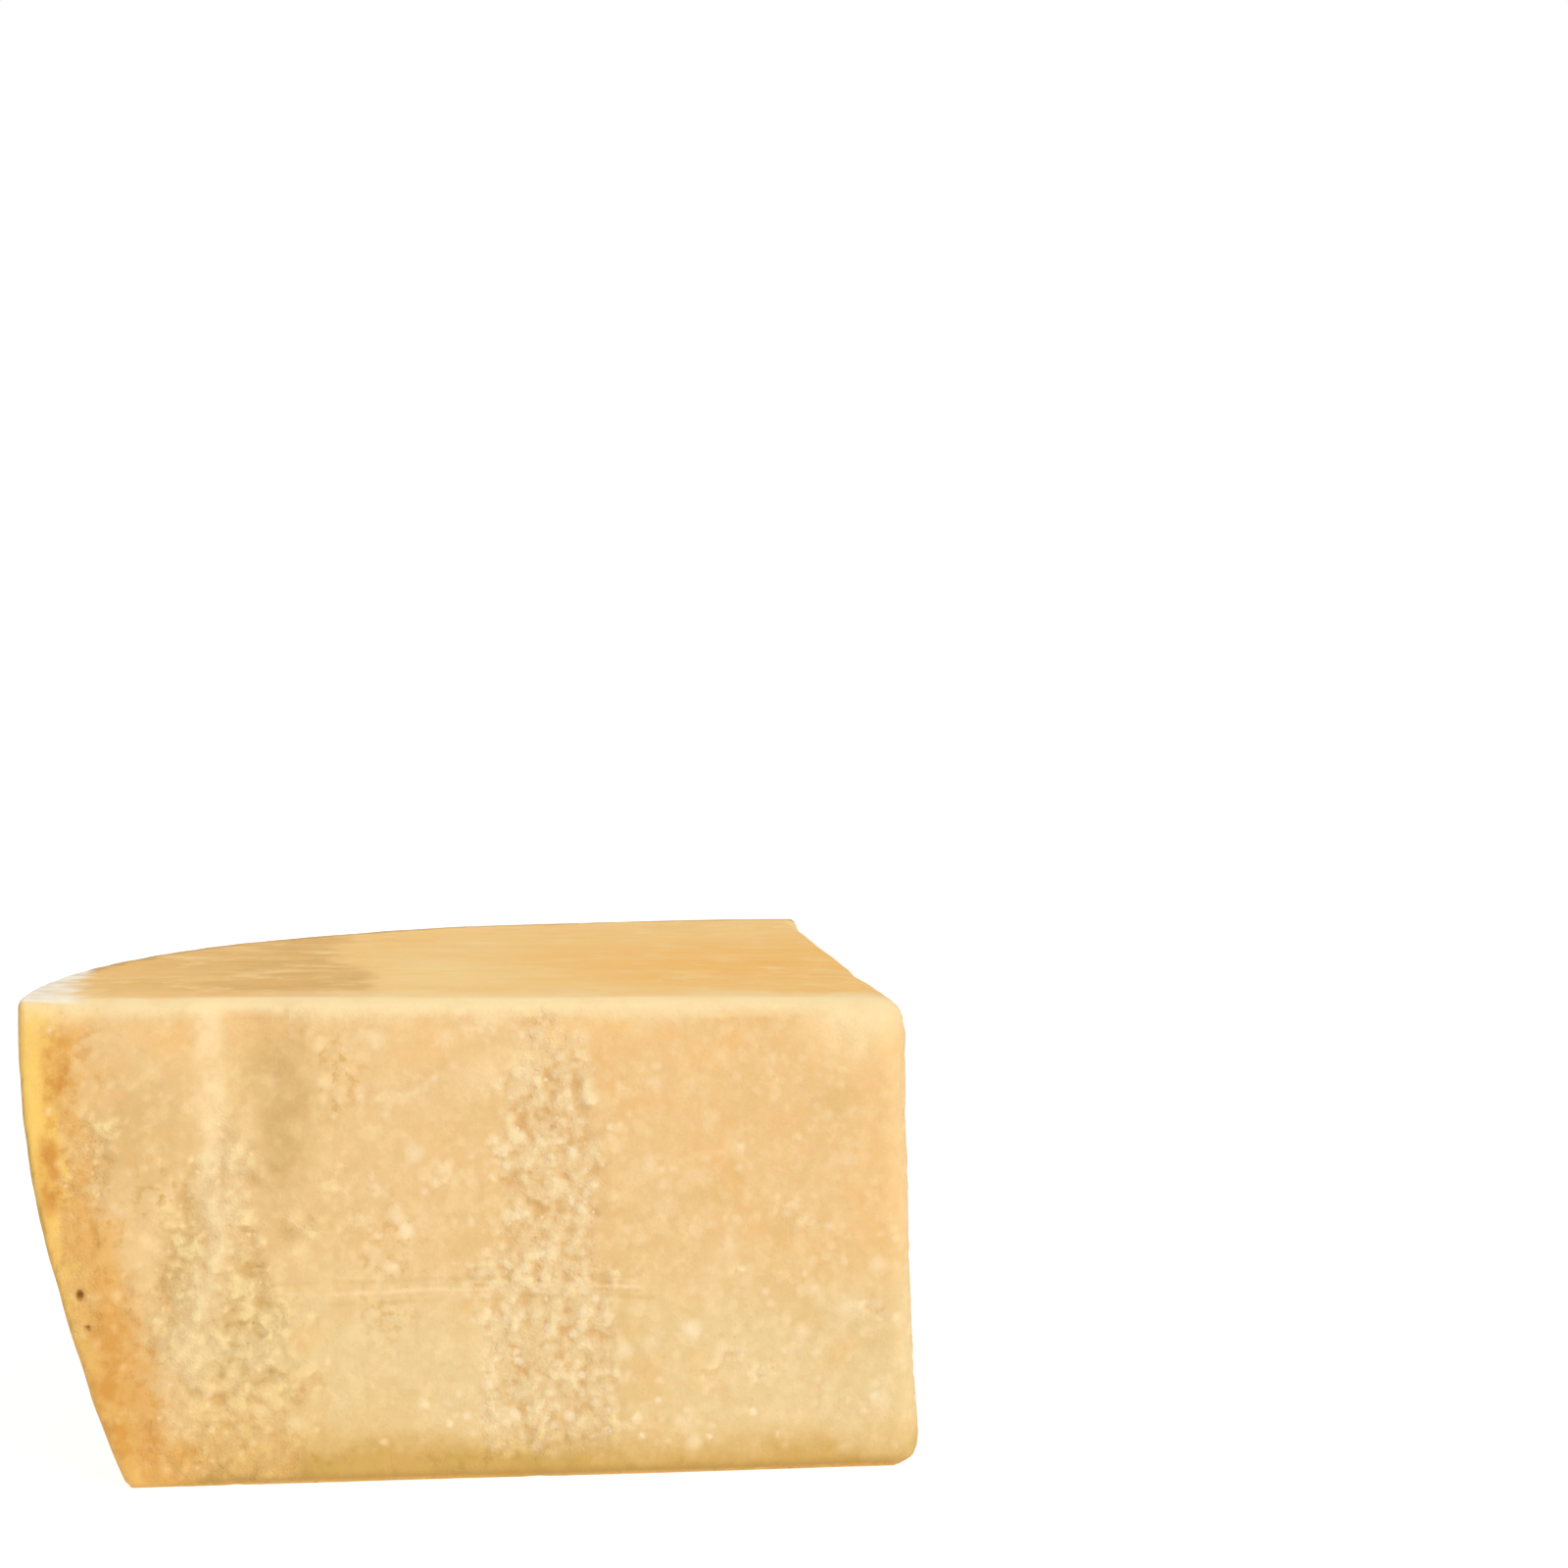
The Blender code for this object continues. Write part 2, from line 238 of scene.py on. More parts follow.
# %% [markdown]
# ## The grain of the paste
#
# Where the paste breaks between its grains, the face is a crowd of small pebbles of several sizes. They
# don't lie side by side like cobbles: each has its own height, some have fallen out, and the creases
# between them are soft. Voronoi cells give the crowd. A weighted mean over the four nearest cells blends
# their heights, and a shallow dome rounds each one. The place is shaken by noise first, so that no cell
# keeps its straight sides.

# %% Pebbles and crumb
GRAIN_SIZES = (0.0038, 0.0026, 0.0016)
GRAIN_SHARES = (0.41, 0.36, 0.23)
CREASE = 9.0
SHAKE = 0.40
DOME = 1.5
DOME_MIDDLE = 0.5
HEIGHT_SHARE = 0.5
CENTRE_STEP = 100


def pebbles(place, size):
    """Pebbles of about one size: 1 on top of a high one, -1 in the hole where one is missing."""
    here = place / size
    distances, centres = noise.voronoi(here + SHAKE * noise.noise_vector(here))
    weights = [math.exp(CREASE * (distances[0] - distance)) for distance in distances]
    heights = [noise.cell(CENTRE_STEP * centre) for centre in centres]
    level = sum(weight * height for weight, height in zip(weights, heights)) / sum(weights)
    dome = 1.0 - DOME * distances[0] ** 2
    return HEIGHT_SHARE * level + dome - DOME_MIDDLE


def crumb(place):
    """Pebbles of all sizes together, from about -1 in a gap to 1 on a crest."""
    return sum(share * pebbles(place, size) for size, share in zip(GRAIN_SIZES, GRAIN_SHARES))


print("grains, mm:", [1000 * size for size in GRAIN_SIZES])

# %% [markdown]
# ## Where the split faces are rough
#
# Most of a split face is smooth, and the coarse crumb stands in upright columns with ragged edges. A groove
# comes down from the top beside the first column, and low crests cross the face. A place on a split face is
# given by its distance from the wheel's axis and its height, so that one function serves both faces.
#
# The front follows the real chunk. The right face has the same kinds of marks in a layout of its own.

# %% Layout of columns
SLOW_SIZE = 0.055
SLOW_DEPTH = 0.0011
GRAIN_DEPTH = 0.0013
QUIET_SHARE = 0.12
RAGGED_SIZE = 0.011
RAGGED_SHARE = 0.45
FINE_RAGGED_SIZE = 0.0035
FINE_RAGGED_SHARE = 0.25
COLUMN_SINK = 0.0006
COLUMN_WANDER = 0.005
WANDER_SIZE = 0.022
COLUMN_FADE = 0.018
COLUMN_EDGE = (0.1, 0.6)
PATCH_SIZE = 0.012
PATCH_SHARE = 0.35
PATCH_EDGE = (0.25, 0.55)

Column = namedtuple("Column", "axis_distance top_half_width foot_half_width low high")
FRONT_COLUMNS = (
    Column(0.155, 0.010, 0.030, -0.02, 0.080),
    Column(0.081, 0.014, 0.026, 0.004, 0.107),
    Column(0.185, 0.009, 0.008, 0.034, 0.082),
)
RIGHT_COLUMNS = (
    Column(0.052, 0.013, 0.021, 0.008, 0.092),
    Column(0.128, 0.016, 0.032, -0.02, 0.066),
    Column(0.092, 0.010, 0.009, 0.060, 0.084),
    Column(0.170, 0.009, 0.008, 0.040, 0.078),
)

# %% Layout of grooves and crests
GROOVE_WANDER = 0.0035
GROOVE_WANDER_SIZE = 0.016
FLANK_LIGHT_RISE = 0.04

Groove = namedtuple("Groove", "axis_distance depth rind_flank heart_flank low high")
FRONT_GROOVES = (Groove(0.1525, 0.0030, 0.011, 0.021, 0.040, 0.135),)
RIGHT_GROOVES = (Groove(0.066, 0.0016, 0.012, 0.024, 0.028, 0.125),)

Crest = namedtuple("Crest", "start end half_width rise")
FRONT_CRESTS = (
    Crest((0.147, 0.092), (0.168, 0.008), 0.0075, 0.0011),
    Crest((0.106, 0.090), (0.068, 0.105), 0.0065, 0.0008),
)
RIGHT_CRESTS = (Crest((0.088, 0.030), (0.160, 0.098), 0.0120, 0.0012),)


# %% How strong each mark is
def column_strength(column, distance, height, draw):
    """How coarse the crumb is here: 1 in the middle of the column, 0 outside its ragged edge."""
    place = Vector((distance, 0.0, height))
    wander = COLUMN_WANDER * noise.noise(draw + Z_AXIS * (height / WANDER_SIZE))
    share_up = min(1.0, max(0.0, height / column.high))
    half_width = column.foot_half_width + (column.top_half_width - column.foot_half_width) * share_up
    across = hump(distance - column.axis_distance - wander, half_width)
    rising = smooth_step(height, column.low - COLUMN_FADE / 2, column.low + COLUMN_FADE / 2)
    falling = 1.0 - smooth_step(height, column.high - COLUMN_FADE / 2, column.high + COLUMN_FADE / 2)
    ragged = RAGGED_SHARE * noise.noise(draw + place / RAGGED_SIZE)
    ragged += FINE_RAGGED_SHARE * noise.noise(draw + place / FINE_RAGGED_SIZE)
    return smooth_step(across * rising * falling + ragged, *COLUMN_EDGE)


def patch_strength(distance, height, draw):
    """A few small coarse patches outside the columns."""
    place = Vector((distance, 0.0, height))
    return PATCH_SHARE * smooth_step(noise.noise(place / PATCH_SIZE - draw), *PATCH_EDGE)


def groove_shape(groove, distance, height, draw):
    """The groove's depth here, and its painted light and shade: 1 for painted highlight on the flank near the
    rind, -1 for painted shade on the flank near the heart.
    """
    wander = GROOVE_WANDER * noise.noise(draw - Z_AXIS * (height / GROOVE_WANDER_SIZE))
    aside = distance - groove.axis_distance - wander
    across = hump(aside, groove.rind_flank if aside > 0 else groove.heart_flank)
    rising = smooth_step(height, groove.low, groove.high)
    flank = 4.0 * across * (1.0 - across)  # 1 halfway down a flank, 0 at its top and foot
    flank_light_and_shade = math.copysign(flank, aside) * smooth_step(height, groove.low, groove.low + FLANK_LIGHT_RISE)
    return groove.depth * across * rising, flank_light_and_shade


def crest_share(crest, distance, height):
    """How high the crest is here, as a share of its full rise."""
    start = Vector(crest.start)
    run = Vector(crest.end) - start
    here = Vector((distance, height)) - start
    along = min(1.0, max(0.0, here.dot(run) / run.length_squared))
    fading = math.sin(math.pi * along)
    return fading * hump((here - run * along).length, crest.half_width)


print("coarse columns:", len(FRONT_COLUMNS), "and", len(RIGHT_COLUMNS))

# %% [markdown]
# ## One split face
#
# The marks add up to one number, how far the face stands out. The same sums also say how to colour it: the
# crests of the crumbs are painted pale, partly as drier paste and partly as painted highlight, and the gaps
# between them are painted brown, partly as browner paste and partly as painted shade. The flanks of the
# groove get painted light and shade as well. So the function returns them beside the relief, and the
# material reads them later.

# %% Relief of a split face
FINE_CRUMB_SIZE = 0.0021
FINE_CRUMB_DEPTH = 0.00016

Face = namedtuple("Face", "draw columns grooves crests")
FRONT = Face(Vector((11.3, 4.7, 2.1)), FRONT_COLUMNS, FRONT_GROOVES, FRONT_CRESTS)
RIGHT = Face(Vector((37.9, 8.2, 5.6)), RIGHT_COLUMNS, RIGHT_GROOVES, RIGHT_CRESTS)


def split_relief(face, distance, height):
    """How far the face stands out here, and what the material needs: coarseness, crumb, the groove's painted
    light and shade, and crest.
    """
    place = Vector((distance, 0.0, height))
    slow = SLOW_DEPTH * noise.noise(face.draw + place / SLOW_SIZE)
    coarse = max(column_strength(column, distance, height, face.draw) for column in face.columns)
    coarse = max(coarse, patch_strength(distance, height, face.draw))
    grain = crumb(face.draw + place)
    relief = slow + GRAIN_DEPTH * (QUIET_SHARE + (1.0 - QUIET_SHARE) * coarse) * grain
    relief += FINE_CRUMB_DEPTH * noise.noise(face.draw + place / FINE_CRUMB_SIZE)
    relief -= COLUMN_SINK * coarse
    crests = [crest_share(crest, distance, height) for crest in face.crests]
    relief += sum(crest.rise * share for crest, share in zip(face.crests, crests))
    grooves = [groove_shape(groove, distance, height, face.draw) for groove in face.grooves]
    relief -= sum(depth for depth, flank_light_and_shade in grooves)
    return relief, (coarse, grain, sum(flank_light_and_shade for depth, flank_light_and_shade in grooves), max(crests))


print("groove relief, mm:", round(1000 * split_relief(FRONT, 0.1525, 0.1)[0], 2))

# %% [markdown]
# ## The top and the rind
#
# The top was cut with a wire or a long knife, which leaves shallow streaks parallel to the front edge.
# Noise that is stretched along one direction gives such streaks. The rind is hard and waxy: it has slow
# waves from the mould and small pits where it was brushed.

# %% Relief of the top and the rind
TOP_DRAW = Vector((83.2, 6.5, 3.8))
TOP_WAVE_SIZE = 0.070
TOP_WAVE_DEPTH = 0.0005
STREAK_LENGTH = 0.060
STREAK_WIDTH = 0.0070
STREAK_DEPTH = 0.00018

RIND_DRAW = Vector((61.4, 1.9, 7.3))
RIND_WAVE_SIZE = 0.040
RIND_WAVE_DEPTH = 0.0008
RIND_RIPPLE_SIZE = 0.009
RIND_RIPPLE_DEPTH = 0.00025
PIT_SPACING = 0.011
PIT_RADIUS = 0.0016
PIT_DEPTH = 0.0008
PIT_DRAW_STEP = 5.3
PIT_LEVEL = -0.05


def top_relief(point):
    wave = TOP_WAVE_DEPTH * noise.noise(TOP_DRAW + point / TOP_WAVE_SIZE)
    along_the_cut = Vector((point.x / STREAK_LENGTH, point.y / STREAK_WIDTH, 0.0))
    return wave + STREAK_DEPTH * noise.noise(TOP_DRAW + along_the_cut)


def rind_pit(point):
    """How deep a pit is: 0 on the bare rind, 1 in the middle of a pit. Only some cells have one."""
    distances, centres = noise.voronoi(RIND_DRAW + point / PIT_SPACING)
    chosen = noise.noise(centres[0] * PIT_DRAW_STEP) > PIT_LEVEL
    return hump(distances[0] * PIT_SPACING, PIT_RADIUS) if chosen else 0.0


def rind_relief(point, pit):
    wave = RIND_WAVE_DEPTH * noise.noise(RIND_DRAW + point / RIND_WAVE_SIZE)
    ripple = RIND_RIPPLE_DEPTH * noise.noise(RIND_DRAW + point / RIND_RIPPLE_SIZE)
    return wave + ripple - PIT_DEPTH * pit


print("waves of the rind, mm:", 1000 * RIND_WAVE_DEPTH)

# %% [markdown]
# ## Stains, shades, flecks, holes and chips
#
# On the front a few patches of the paste just under the rind are browner than the rest, and two small holes
# sit between them, painted dark inside as painted shade. Beside them the smooth paste is painted a shade
# more olive, as the painted shade of slight hollows, and in three places it is flecked with crystals. Along
# the foot a few chips have broken away. Each is a spot with a place and a size, in distance from the
# wheel's axis and height.

# %% Spots
Spot = namedtuple("Spot", "axis_distance height half_width half_height")
FRONT_STAINS = (
    Spot(0.1910, 0.095, 0.0060, 0.021),
    Spot(0.1770, 0.022, 0.0165, 0.036),
    Spot(0.1932, 0.072, 0.0045, 0.016),
)
RIGHT_STAINS = (Spot(0.1870, 0.062, 0.0070, 0.022), Spot(0.1820, 0.010, 0.0120, 0.014))
# The shade spots are painted shade of slight hollows.
FRONT_SHADES = (Spot(0.1725, 0.080, 0.0160, 0.022), Spot(0.1640, 0.052, 0.0100, 0.022))
RIGHT_SHADES = (Spot(0.0900, 0.050, 0.0180, 0.026), Spot(0.1500, 0.086, 0.0160, 0.014))
FRONT_HOLES = (Spot(0.1868, 0.0442, 0.0016, 0.0022), Spot(0.1852, 0.0368, 0.0009, 0.0011))
RIGHT_HOLES = (Spot(0.1790, 0.0330, 0.0016, 0.0018),)
FRONT_CHIPS = (Spot(0.1525, 0.0, 0.0042, 0.0030), Spot(0.0840, 0.0, 0.0034, 0.0022))
RIGHT_CHIPS = (Spot(0.1180, 0.0, 0.0045, 0.0030), Spot(0.0610, 0.0, 0.0030, 0.0024))
FRONT_FLECKS = (
    Spot(0.1170, 0.048, 0.0120, 0.026),
    Spot(0.1290, 0.094, 0.0110, 0.014),
    Spot(0.1690, 0.066, 0.0120, 0.012),
)
RIGHT_FLECKS = (Spot(0.0900, 0.088, 0.0120, 0.014), Spot(0.1480, 0.094, 0.0120, 0.012))
HOLE_DEPTH = 0.0018
CHIP_DEPTH = 0.0016


def spot_strength(spot, distance, height):
    across = (distance - spot.axis_distance) / spot.half_width
    up = (height - spot.height) / spot.half_height
    return hump(math.hypot(across, up), 1.0)


def strongest(spots, distance, height):
    return max(spot_strength(spot, distance, height) for spot in spots)


print("stains on the front:", len(FRONT_STAINS))

# %% [markdown]
# ## Carve the chunk and mark its points
#
# Every point asks which faces it belongs to. Its normal on the plain body answers that, and round a worn
# edge the answer is a blend, so relief runs smoothly from face to face. Beside its move, each point keeps
# marks that the material reads: they are stored as attributes, which stay with the mesh through the later
# steps.

# %% What marks there are
SPLIT_MARKS = ("coarse", "crumb", "groove", "crest", "stain", "shade", "fleck", "hole")
PLACE_MARKS = ("rind_skin", "cut_top", "front", "under_side", "under_foot", "under_cut", "worn")
TOP_MARKS = ("cream", "amber")
MARKS = (*PLACE_MARKS, *TOP_MARKS, *SPLIT_MARKS)
# The dry corners are paler paste with a painted glare on them.
Dry = namedtuple("Dry", "place radius")
DRY_AND_GLARE_CORNERS = (Dry(Vector((-0.192, 0.006, 0.1115)), 0.013), Dry(Vector((-0.010, 0.0, 0.1070)), 0.020))
Patch = namedtuple("Patch", "x y half_length half_depth")
CREAM_PATCH = Patch(-0.104, 0.060, 0.024, 0.080)
AMBER_PATCH = Patch(-0.030, 0.080, 0.070, 0.090)
TOP_PATCHES = (CREAM_PATCH, AMBER_PATCH)
EDGE_WEAR_AND_HIGHLIGHT = 2.0
WEAR_REACH = 0.55
HEART_WEAR_AND_HIGHLIGHT = 0.16
RIND_TURN = (0.3, 0.9)
RIND_REACH = (0.5, 0.8)
FOOT_TURN = (0.5, 0.9)
TOP_TURN = (0.6, 0.95)
PIT_SHADE = 0.6
Marred = namedtuple("Marred", "stains shades flecks holes chips")
FRONT_MARRED = Marred(FRONT_STAINS, FRONT_SHADES, FRONT_FLECKS, FRONT_HOLES, FRONT_CHIPS)
RIGHT_MARRED = Marred(RIGHT_STAINS, RIGHT_SHADES, RIGHT_FLECKS, RIGHT_HOLES, RIGHT_CHIPS)


# %% Carve and mark
def carve_split_face(face, marred, distance, height):
    """How far a point of a split face moves out, and its marks."""
    relief, split_marks = split_relief(face, distance, height)
    hole = strongest(marred.holes, distance, height)
    relief -= HOLE_DEPTH * hole + CHIP_DEPTH * strongest(marred.chips, distance, height)
    tints = [strongest(spots, distance, height) for spots in (marred.stains, marred.shades, marred.flecks)]
    return relief, (*split_marks, *tints, hole)


def dryness_and_glare(corner, point):
    return hump((point - corner.place).length, corner.radius)


def patch_share(patch, point):
    """1 in the middle of a patch of the top, 0 outside it."""
    along = (point.x - patch.x) / patch.half_length
    back = (point.y - patch.y) / patch.half_depth
    return hump(math.hypot(along, back), 1.0)


def carve_point(point, normal):
    """The move of a point of the plain body, and its marks."""
    outwards = Vector((point.x, point.y, 0.0)).normalized()
    from_axis = point.xy.length
    on_front = max(0.0, -normal.y)
    on_right = max(0.0, normal.x)
    on_top = max(0.0, normal.z)
    on_foot = max(0.0, -normal.z)
    far_out = smooth_step(from_axis / WHEEL_RADIUS, *RIND_REACH)
    on_rind = smooth_step(normal.dot(outwards), *RIND_TURN) * far_out
    marks = dict.fromkeys(MARKS, 0.0)
    move = Vector((0.0, 0.0, 0.0))
    if on_front:
        out, front_marks = carve_split_face(FRONT, FRONT_MARRED, -point.x, point.z)
        move -= Y_AXIS * on_front * out
    if on_right:
        out, right_marks = carve_split_face(RIGHT, RIGHT_MARRED, point.y, point.z)
        move += X_AXIS * on_right * out
    if on_front > on_right:
        marks.update(zip(SPLIT_MARKS, front_marks))
    elif on_right:
        marks.update(zip(SPLIT_MARKS, right_marks))
    if on_top:
        move += Z_AXIS * on_top * top_relief(point)
    if on_rind:
        pit = rind_pit(point)
        # The rind's pits join the hole mark, which is painted dark as painted shade.
        marks["hole"] = max(marks["hole"], PIT_SHADE * pit * on_rind)
        move += outwards * on_rind * rind_relief(point, pit)
    marks["rind_skin"] = max(on_rind, smooth_step(on_foot, *FOOT_TURN))
    marks["cut_top"] = smooth_step(on_top, *TOP_TURN)
    marks["front"] = on_front
    marks["under_side"] = WHEEL_RADIUS - rind_inset(point.z) - from_axis
    marks["under_foot"] = point.z
    marks["under_cut"] = settle(Vector((point.x, point.y, HEART_HEIGHT))).z - point.z
    # The worn mark is partly wear and partly a painted highlight where rounded edges face the lamps.
    edges = on_front**WEAR_REACH * on_top, HEART_WEAR_AND_HIGHLIGHT * on_right * on_top, HEART_WEAR_AND_HIGHLIGHT * on_front * on_right
    marks["worn"] = min(1.0, max(EDGE_WEAR_AND_HIGHLIGHT * max(edges), *(dryness_and_glare(corner, point) for corner in DRY_AND_GLARE_CORNERS)))
    marks.update((name, patch_share(patch, point)) for name, patch in zip(TOP_MARKS, TOP_PATCHES))
    return move, marks


def carve(mesh):
    carved = [carve_point(vert.co, vert.normal) for vert in mesh.vertices]
    for vert, (move, marks) in zip(mesh.vertices, carved):
        vert.co += move
    for name in MARKS:
        layer = mesh.attributes.new(name, "FLOAT", "POINT")
        layer.data.foreach_set("value", [marks[name] for move, marks in carved])


carve(chunk_mesh)
print("marks on each point:", ", ".join(MARKS))

# %% [markdown]
# ## Fewer triangles where nothing happens
#
# The even cells are wasted on the flat foot. Decimate takes triangles away where the surface hardly bends
# and leaves the crumbs alone. Then the foot is pressed flat, and the chunk is put where the solid stands:
# their boxes have the same middle, and both start at the table.

# %% Thin out, set down, and stand in for the solid
MOST_TRIANGLES = 190_000
FLAT_FOOT = 0.0004


def thin_out(mesh):
    mesh.calc_loop_triangles()
    dense = bpy.data.objects.new("dense_body", mesh)
    bpy.context.collection.objects.link(dense)
    thinner = dense.modifiers.new("fewer_triangles", "DECIMATE")
    thinner.ratio = min(1.0, MOST_TRIANGLES / len(mesh.loop_triangles))
    return take_mesh(dense)


def set_down(mesh):
    """Puts the middle of the mesh's box over the middle of the solid's, and presses the foot flat."""
    lowest = [min(vert.co[axis] for vert in mesh.vertices) for axis in range(2)]
    highest = [max(vert.co[axis] for vert in mesh.vertices) for axis in range(2)]
    middle = Vector(((lowest[0] + highest[0]) / 2, (lowest[1] + highest[1]) / 2, 0.0))
    target = Vector(((solid_low.x + solid_high.x) / 2, (solid_low.y + solid_high.y) / 2, 0.0))
    for vert in mesh.vertices:
        vert.co += target - middle
        if vert.co.z < FLAT_FOOT:
            vert.co.z = 0.0
    return target - middle


chunk_mesh = thin_out(chunk_mesh)
wheel_axis = set_down(chunk_mesh)
chunk_mesh.shade_smooth()
chunk = bpy.data.objects.new("grana_chunk", chunk_mesh)
bpy.context.collection.objects.link(chunk)
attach(chunk, "root")
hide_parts("cheese_chunk")
chunk_mesh.calc_loop_triangles()
print("triangles:", len(chunk_mesh.loop_triangles), "wheel's axis at", tuple(round(v, 4) for v in wheel_axis))

# %% [markdown]
# ## Working with shader nodes
#
# Written node by node a finish is hard to read, so each kind of step has a short helper, which takes
# sockets or plain values and returns the socket of its result. A finish is then a list of layers, the
# lowest first. Each names its colour, how strongly it covers what lies below, and where. A pair of numbers
# says where it begins and where it is full, in metres for a height or a depth.

# %% The finish and its nodes
paste_finish = bpy.data.materials.new("grana_finish")
paste_finish.use_nodes = True
tree = paste_finish.node_tree
shader = tree.nodes["Principled BSDF"]
place = tree.nodes.new("ShaderNodeTexCoord").outputs["Object"]


def feed(socket, value):
    """Links a socket to this one, or sets it to a plain value."""
    if isinstance(value, bpy.types.NodeSocket):
        tree.links.new(value, socket)
    else:
        socket.default_value = value


def results(kind, inputs, **settings):
    """Makes a node of this kind, sets it up, feeds its inputs, and returns its outputs."""
    node = tree.nodes.new("ShaderNode" + kind)
    for name, value in settings.items():
        setattr(node, name, value)
    for name, value in inputs.items():
        feed(node.inputs[name], value)
    return node.outputs


# %% Colours, marks and noise
def rgb(red, green, blue):
    """A colour as it looks on a screen, turned into light."""
    def to_light(value):
        share = value / 255
        return share / 12.92 if share <= 0.04045 else ((share + 0.055) / 1.055) ** 2.4
    return (to_light(red), to_light(green), to_light(blue), 1.0)


def mark(name):
    """A mark of the mesh's points."""
    return results("Attribute", {}, attribute_name=name)["Fac"]


def spread(value, low, high, to_low=0.0, to_high=1.0):
    """A smooth rise from to_low to to_high, while the value goes from low to high."""
    span = {"From Min": low, "From Max": high, "To Min": to_low, "To Max": to_high}
    return results("MapRange", {"Value": value, **span}, interpolation_type="SMOOTHSTEP")["Result"]


def reckon(operation, first, second=0.0):
    return results("Math", {0: first, 1: second}, operation=operation)[0]


def times(*values):
    return reduce(partial(reckon, "MULTIPLY"), values)


def largest(*values):
    return reduce(partial(reckon, "MAXIMUM"), values)


def layered(colour, *layers):
    """The colour under these layers. Each covers what is below it by the product of its shares."""
    for layer_colour, *shares in layers:
        inputs = {"Factor": times(*shares), "A": colour, "B": layer_colour}
        colour = results("Mix", inputs, data_type="RGBA")["Result"]
    return colour


def stretched(x_size, y_size, z_size, at=None):
    """The place, or at, counted in steps of these sizes along each axis."""
    steps = (1 / x_size, 1 / y_size, 1 / z_size)
    return results("VectorMath", {0: at or place, 1: steps}, operation="MULTIPLY")["Vector"]


def mottle(size, detail=2.0, roughness=0.5, at=None):
    """Soft noise from 0 to 1, with spots of this size. With at, size counts in the steps of that place."""
    fineness = {"Scale": 1 / size, "Detail": detail, "Roughness": roughness}
    return results("TexNoise", {"Vector": at or place, **fineness})[0]


def spots(size, low, high, detail=2.0, roughness=0.5):
    """Soft spots: 0 where noise of this size is under low, and 1 where it is over high."""
    return spread(mottle(size, detail, roughness), low, high)


def tell(done):
    print(done, "- nodes so far:", len(tree.nodes))


# %% [markdown]
# ## The colour of the paste
#
# The paste of grana is straw-coloured. It isn't one colour: there are slow drifts towards peach and towards
# olive, and a finer mottling of a few millimetres. It grows warmer towards the heart of the wheel. Each
# drift is noise, widened so that it reaches both ends, and kept weak, because strong mottling looks like
# mould.

# %% Paste
STRAW = rgb(235, 197, 139)
PEACH = rgb(239, 195, 133)
OLIVE_STRAW = rgb(225, 186, 121)
PALE_STRAW = rgb(245, 213, 160)
ORANGE_STRAW = rgb(238, 186, 116)
LOW_STRAW = rgb(233, 205, 149)
SHADE_STRAW = rgb(220, 181, 116)
PEACH_DEPTHS = (0.05, 0.16)
LOW_PASTE = (0.058, 0.030)

Mottling = namedtuple("Mottling", "colour share size low high detail roughness")
PASTE_MOTTLING = (
    Mottling(OLIVE_STRAW, 0.55, 0.0180, 0.46, 0.70, 3.0, 0.5),
    Mottling(ORANGE_STRAW, 0.45, 0.0130, 0.52, 0.74, 3.0, 0.5),
    Mottling(PALE_STRAW, 0.60, 0.0050, 0.50, 0.74, 3.0, 0.6),
    Mottling(OLIVE_STRAW, 0.40, 0.0022, 0.52, 0.75, 2.0, 0.6),
)


def mottled(colour, mottlings):
    """The colour under spots of other colours."""
    for each in mottlings:
        over = spots(each.size, each.low, each.high, each.detail, each.roughness)
        colour = layered(colour, (each.colour, each.share, over))
    return colour


under_side = mark("under_side")
under_foot = mark("under_foot")
paste = layered(
    STRAW,
    (PEACH, 0.8, spread(under_side, *PEACH_DEPTHS), spots(0.045, 0.3, 0.65)),
    (LOW_STRAW, 0.90, spread(under_foot, *LOW_PASTE)),
    # Painted shade of slight hollows on the split faces.
    (SHADE_STRAW, 0.75, mark("shade")),
)
paste = mottled(paste, PASTE_MOTTLING)
tell("plain paste")

# %% [markdown]
# ## Pale crests and brown gaps, with painted highlight and shade
#
# The crumb mark runs from the gaps between the pebbles to the crest of the highest one. The crests are
# painted pale, partly as drier paste and partly as painted highlight, and the gaps brown, partly as browner
# paste and partly as painted shade. Its colours count where the face is coarse, and a little everywhere
# else, so that the smooth paste still hints at its grain. Towards the heart the coarse crumb is drier: its
# crests are paler there, and its gaps less olive.

# %% Crumb colours with painted highlight and shade
CREST_COLOUR = rgb(255, 229, 177)
GOLD_CREST_AND_HIGHLIGHT = rgb(253, 224, 162)
BROWN_GAP_AND_SHADE = rgb(220, 166, 90)
OLIVE_GAP_AND_SHADE = rgb(208, 160, 82)
DRIER_DEPTHS = (0.055, 0.090)
CREST_LEVELS = (0.02, 0.44)
GAP_LEVELS = (0.06, -0.36)

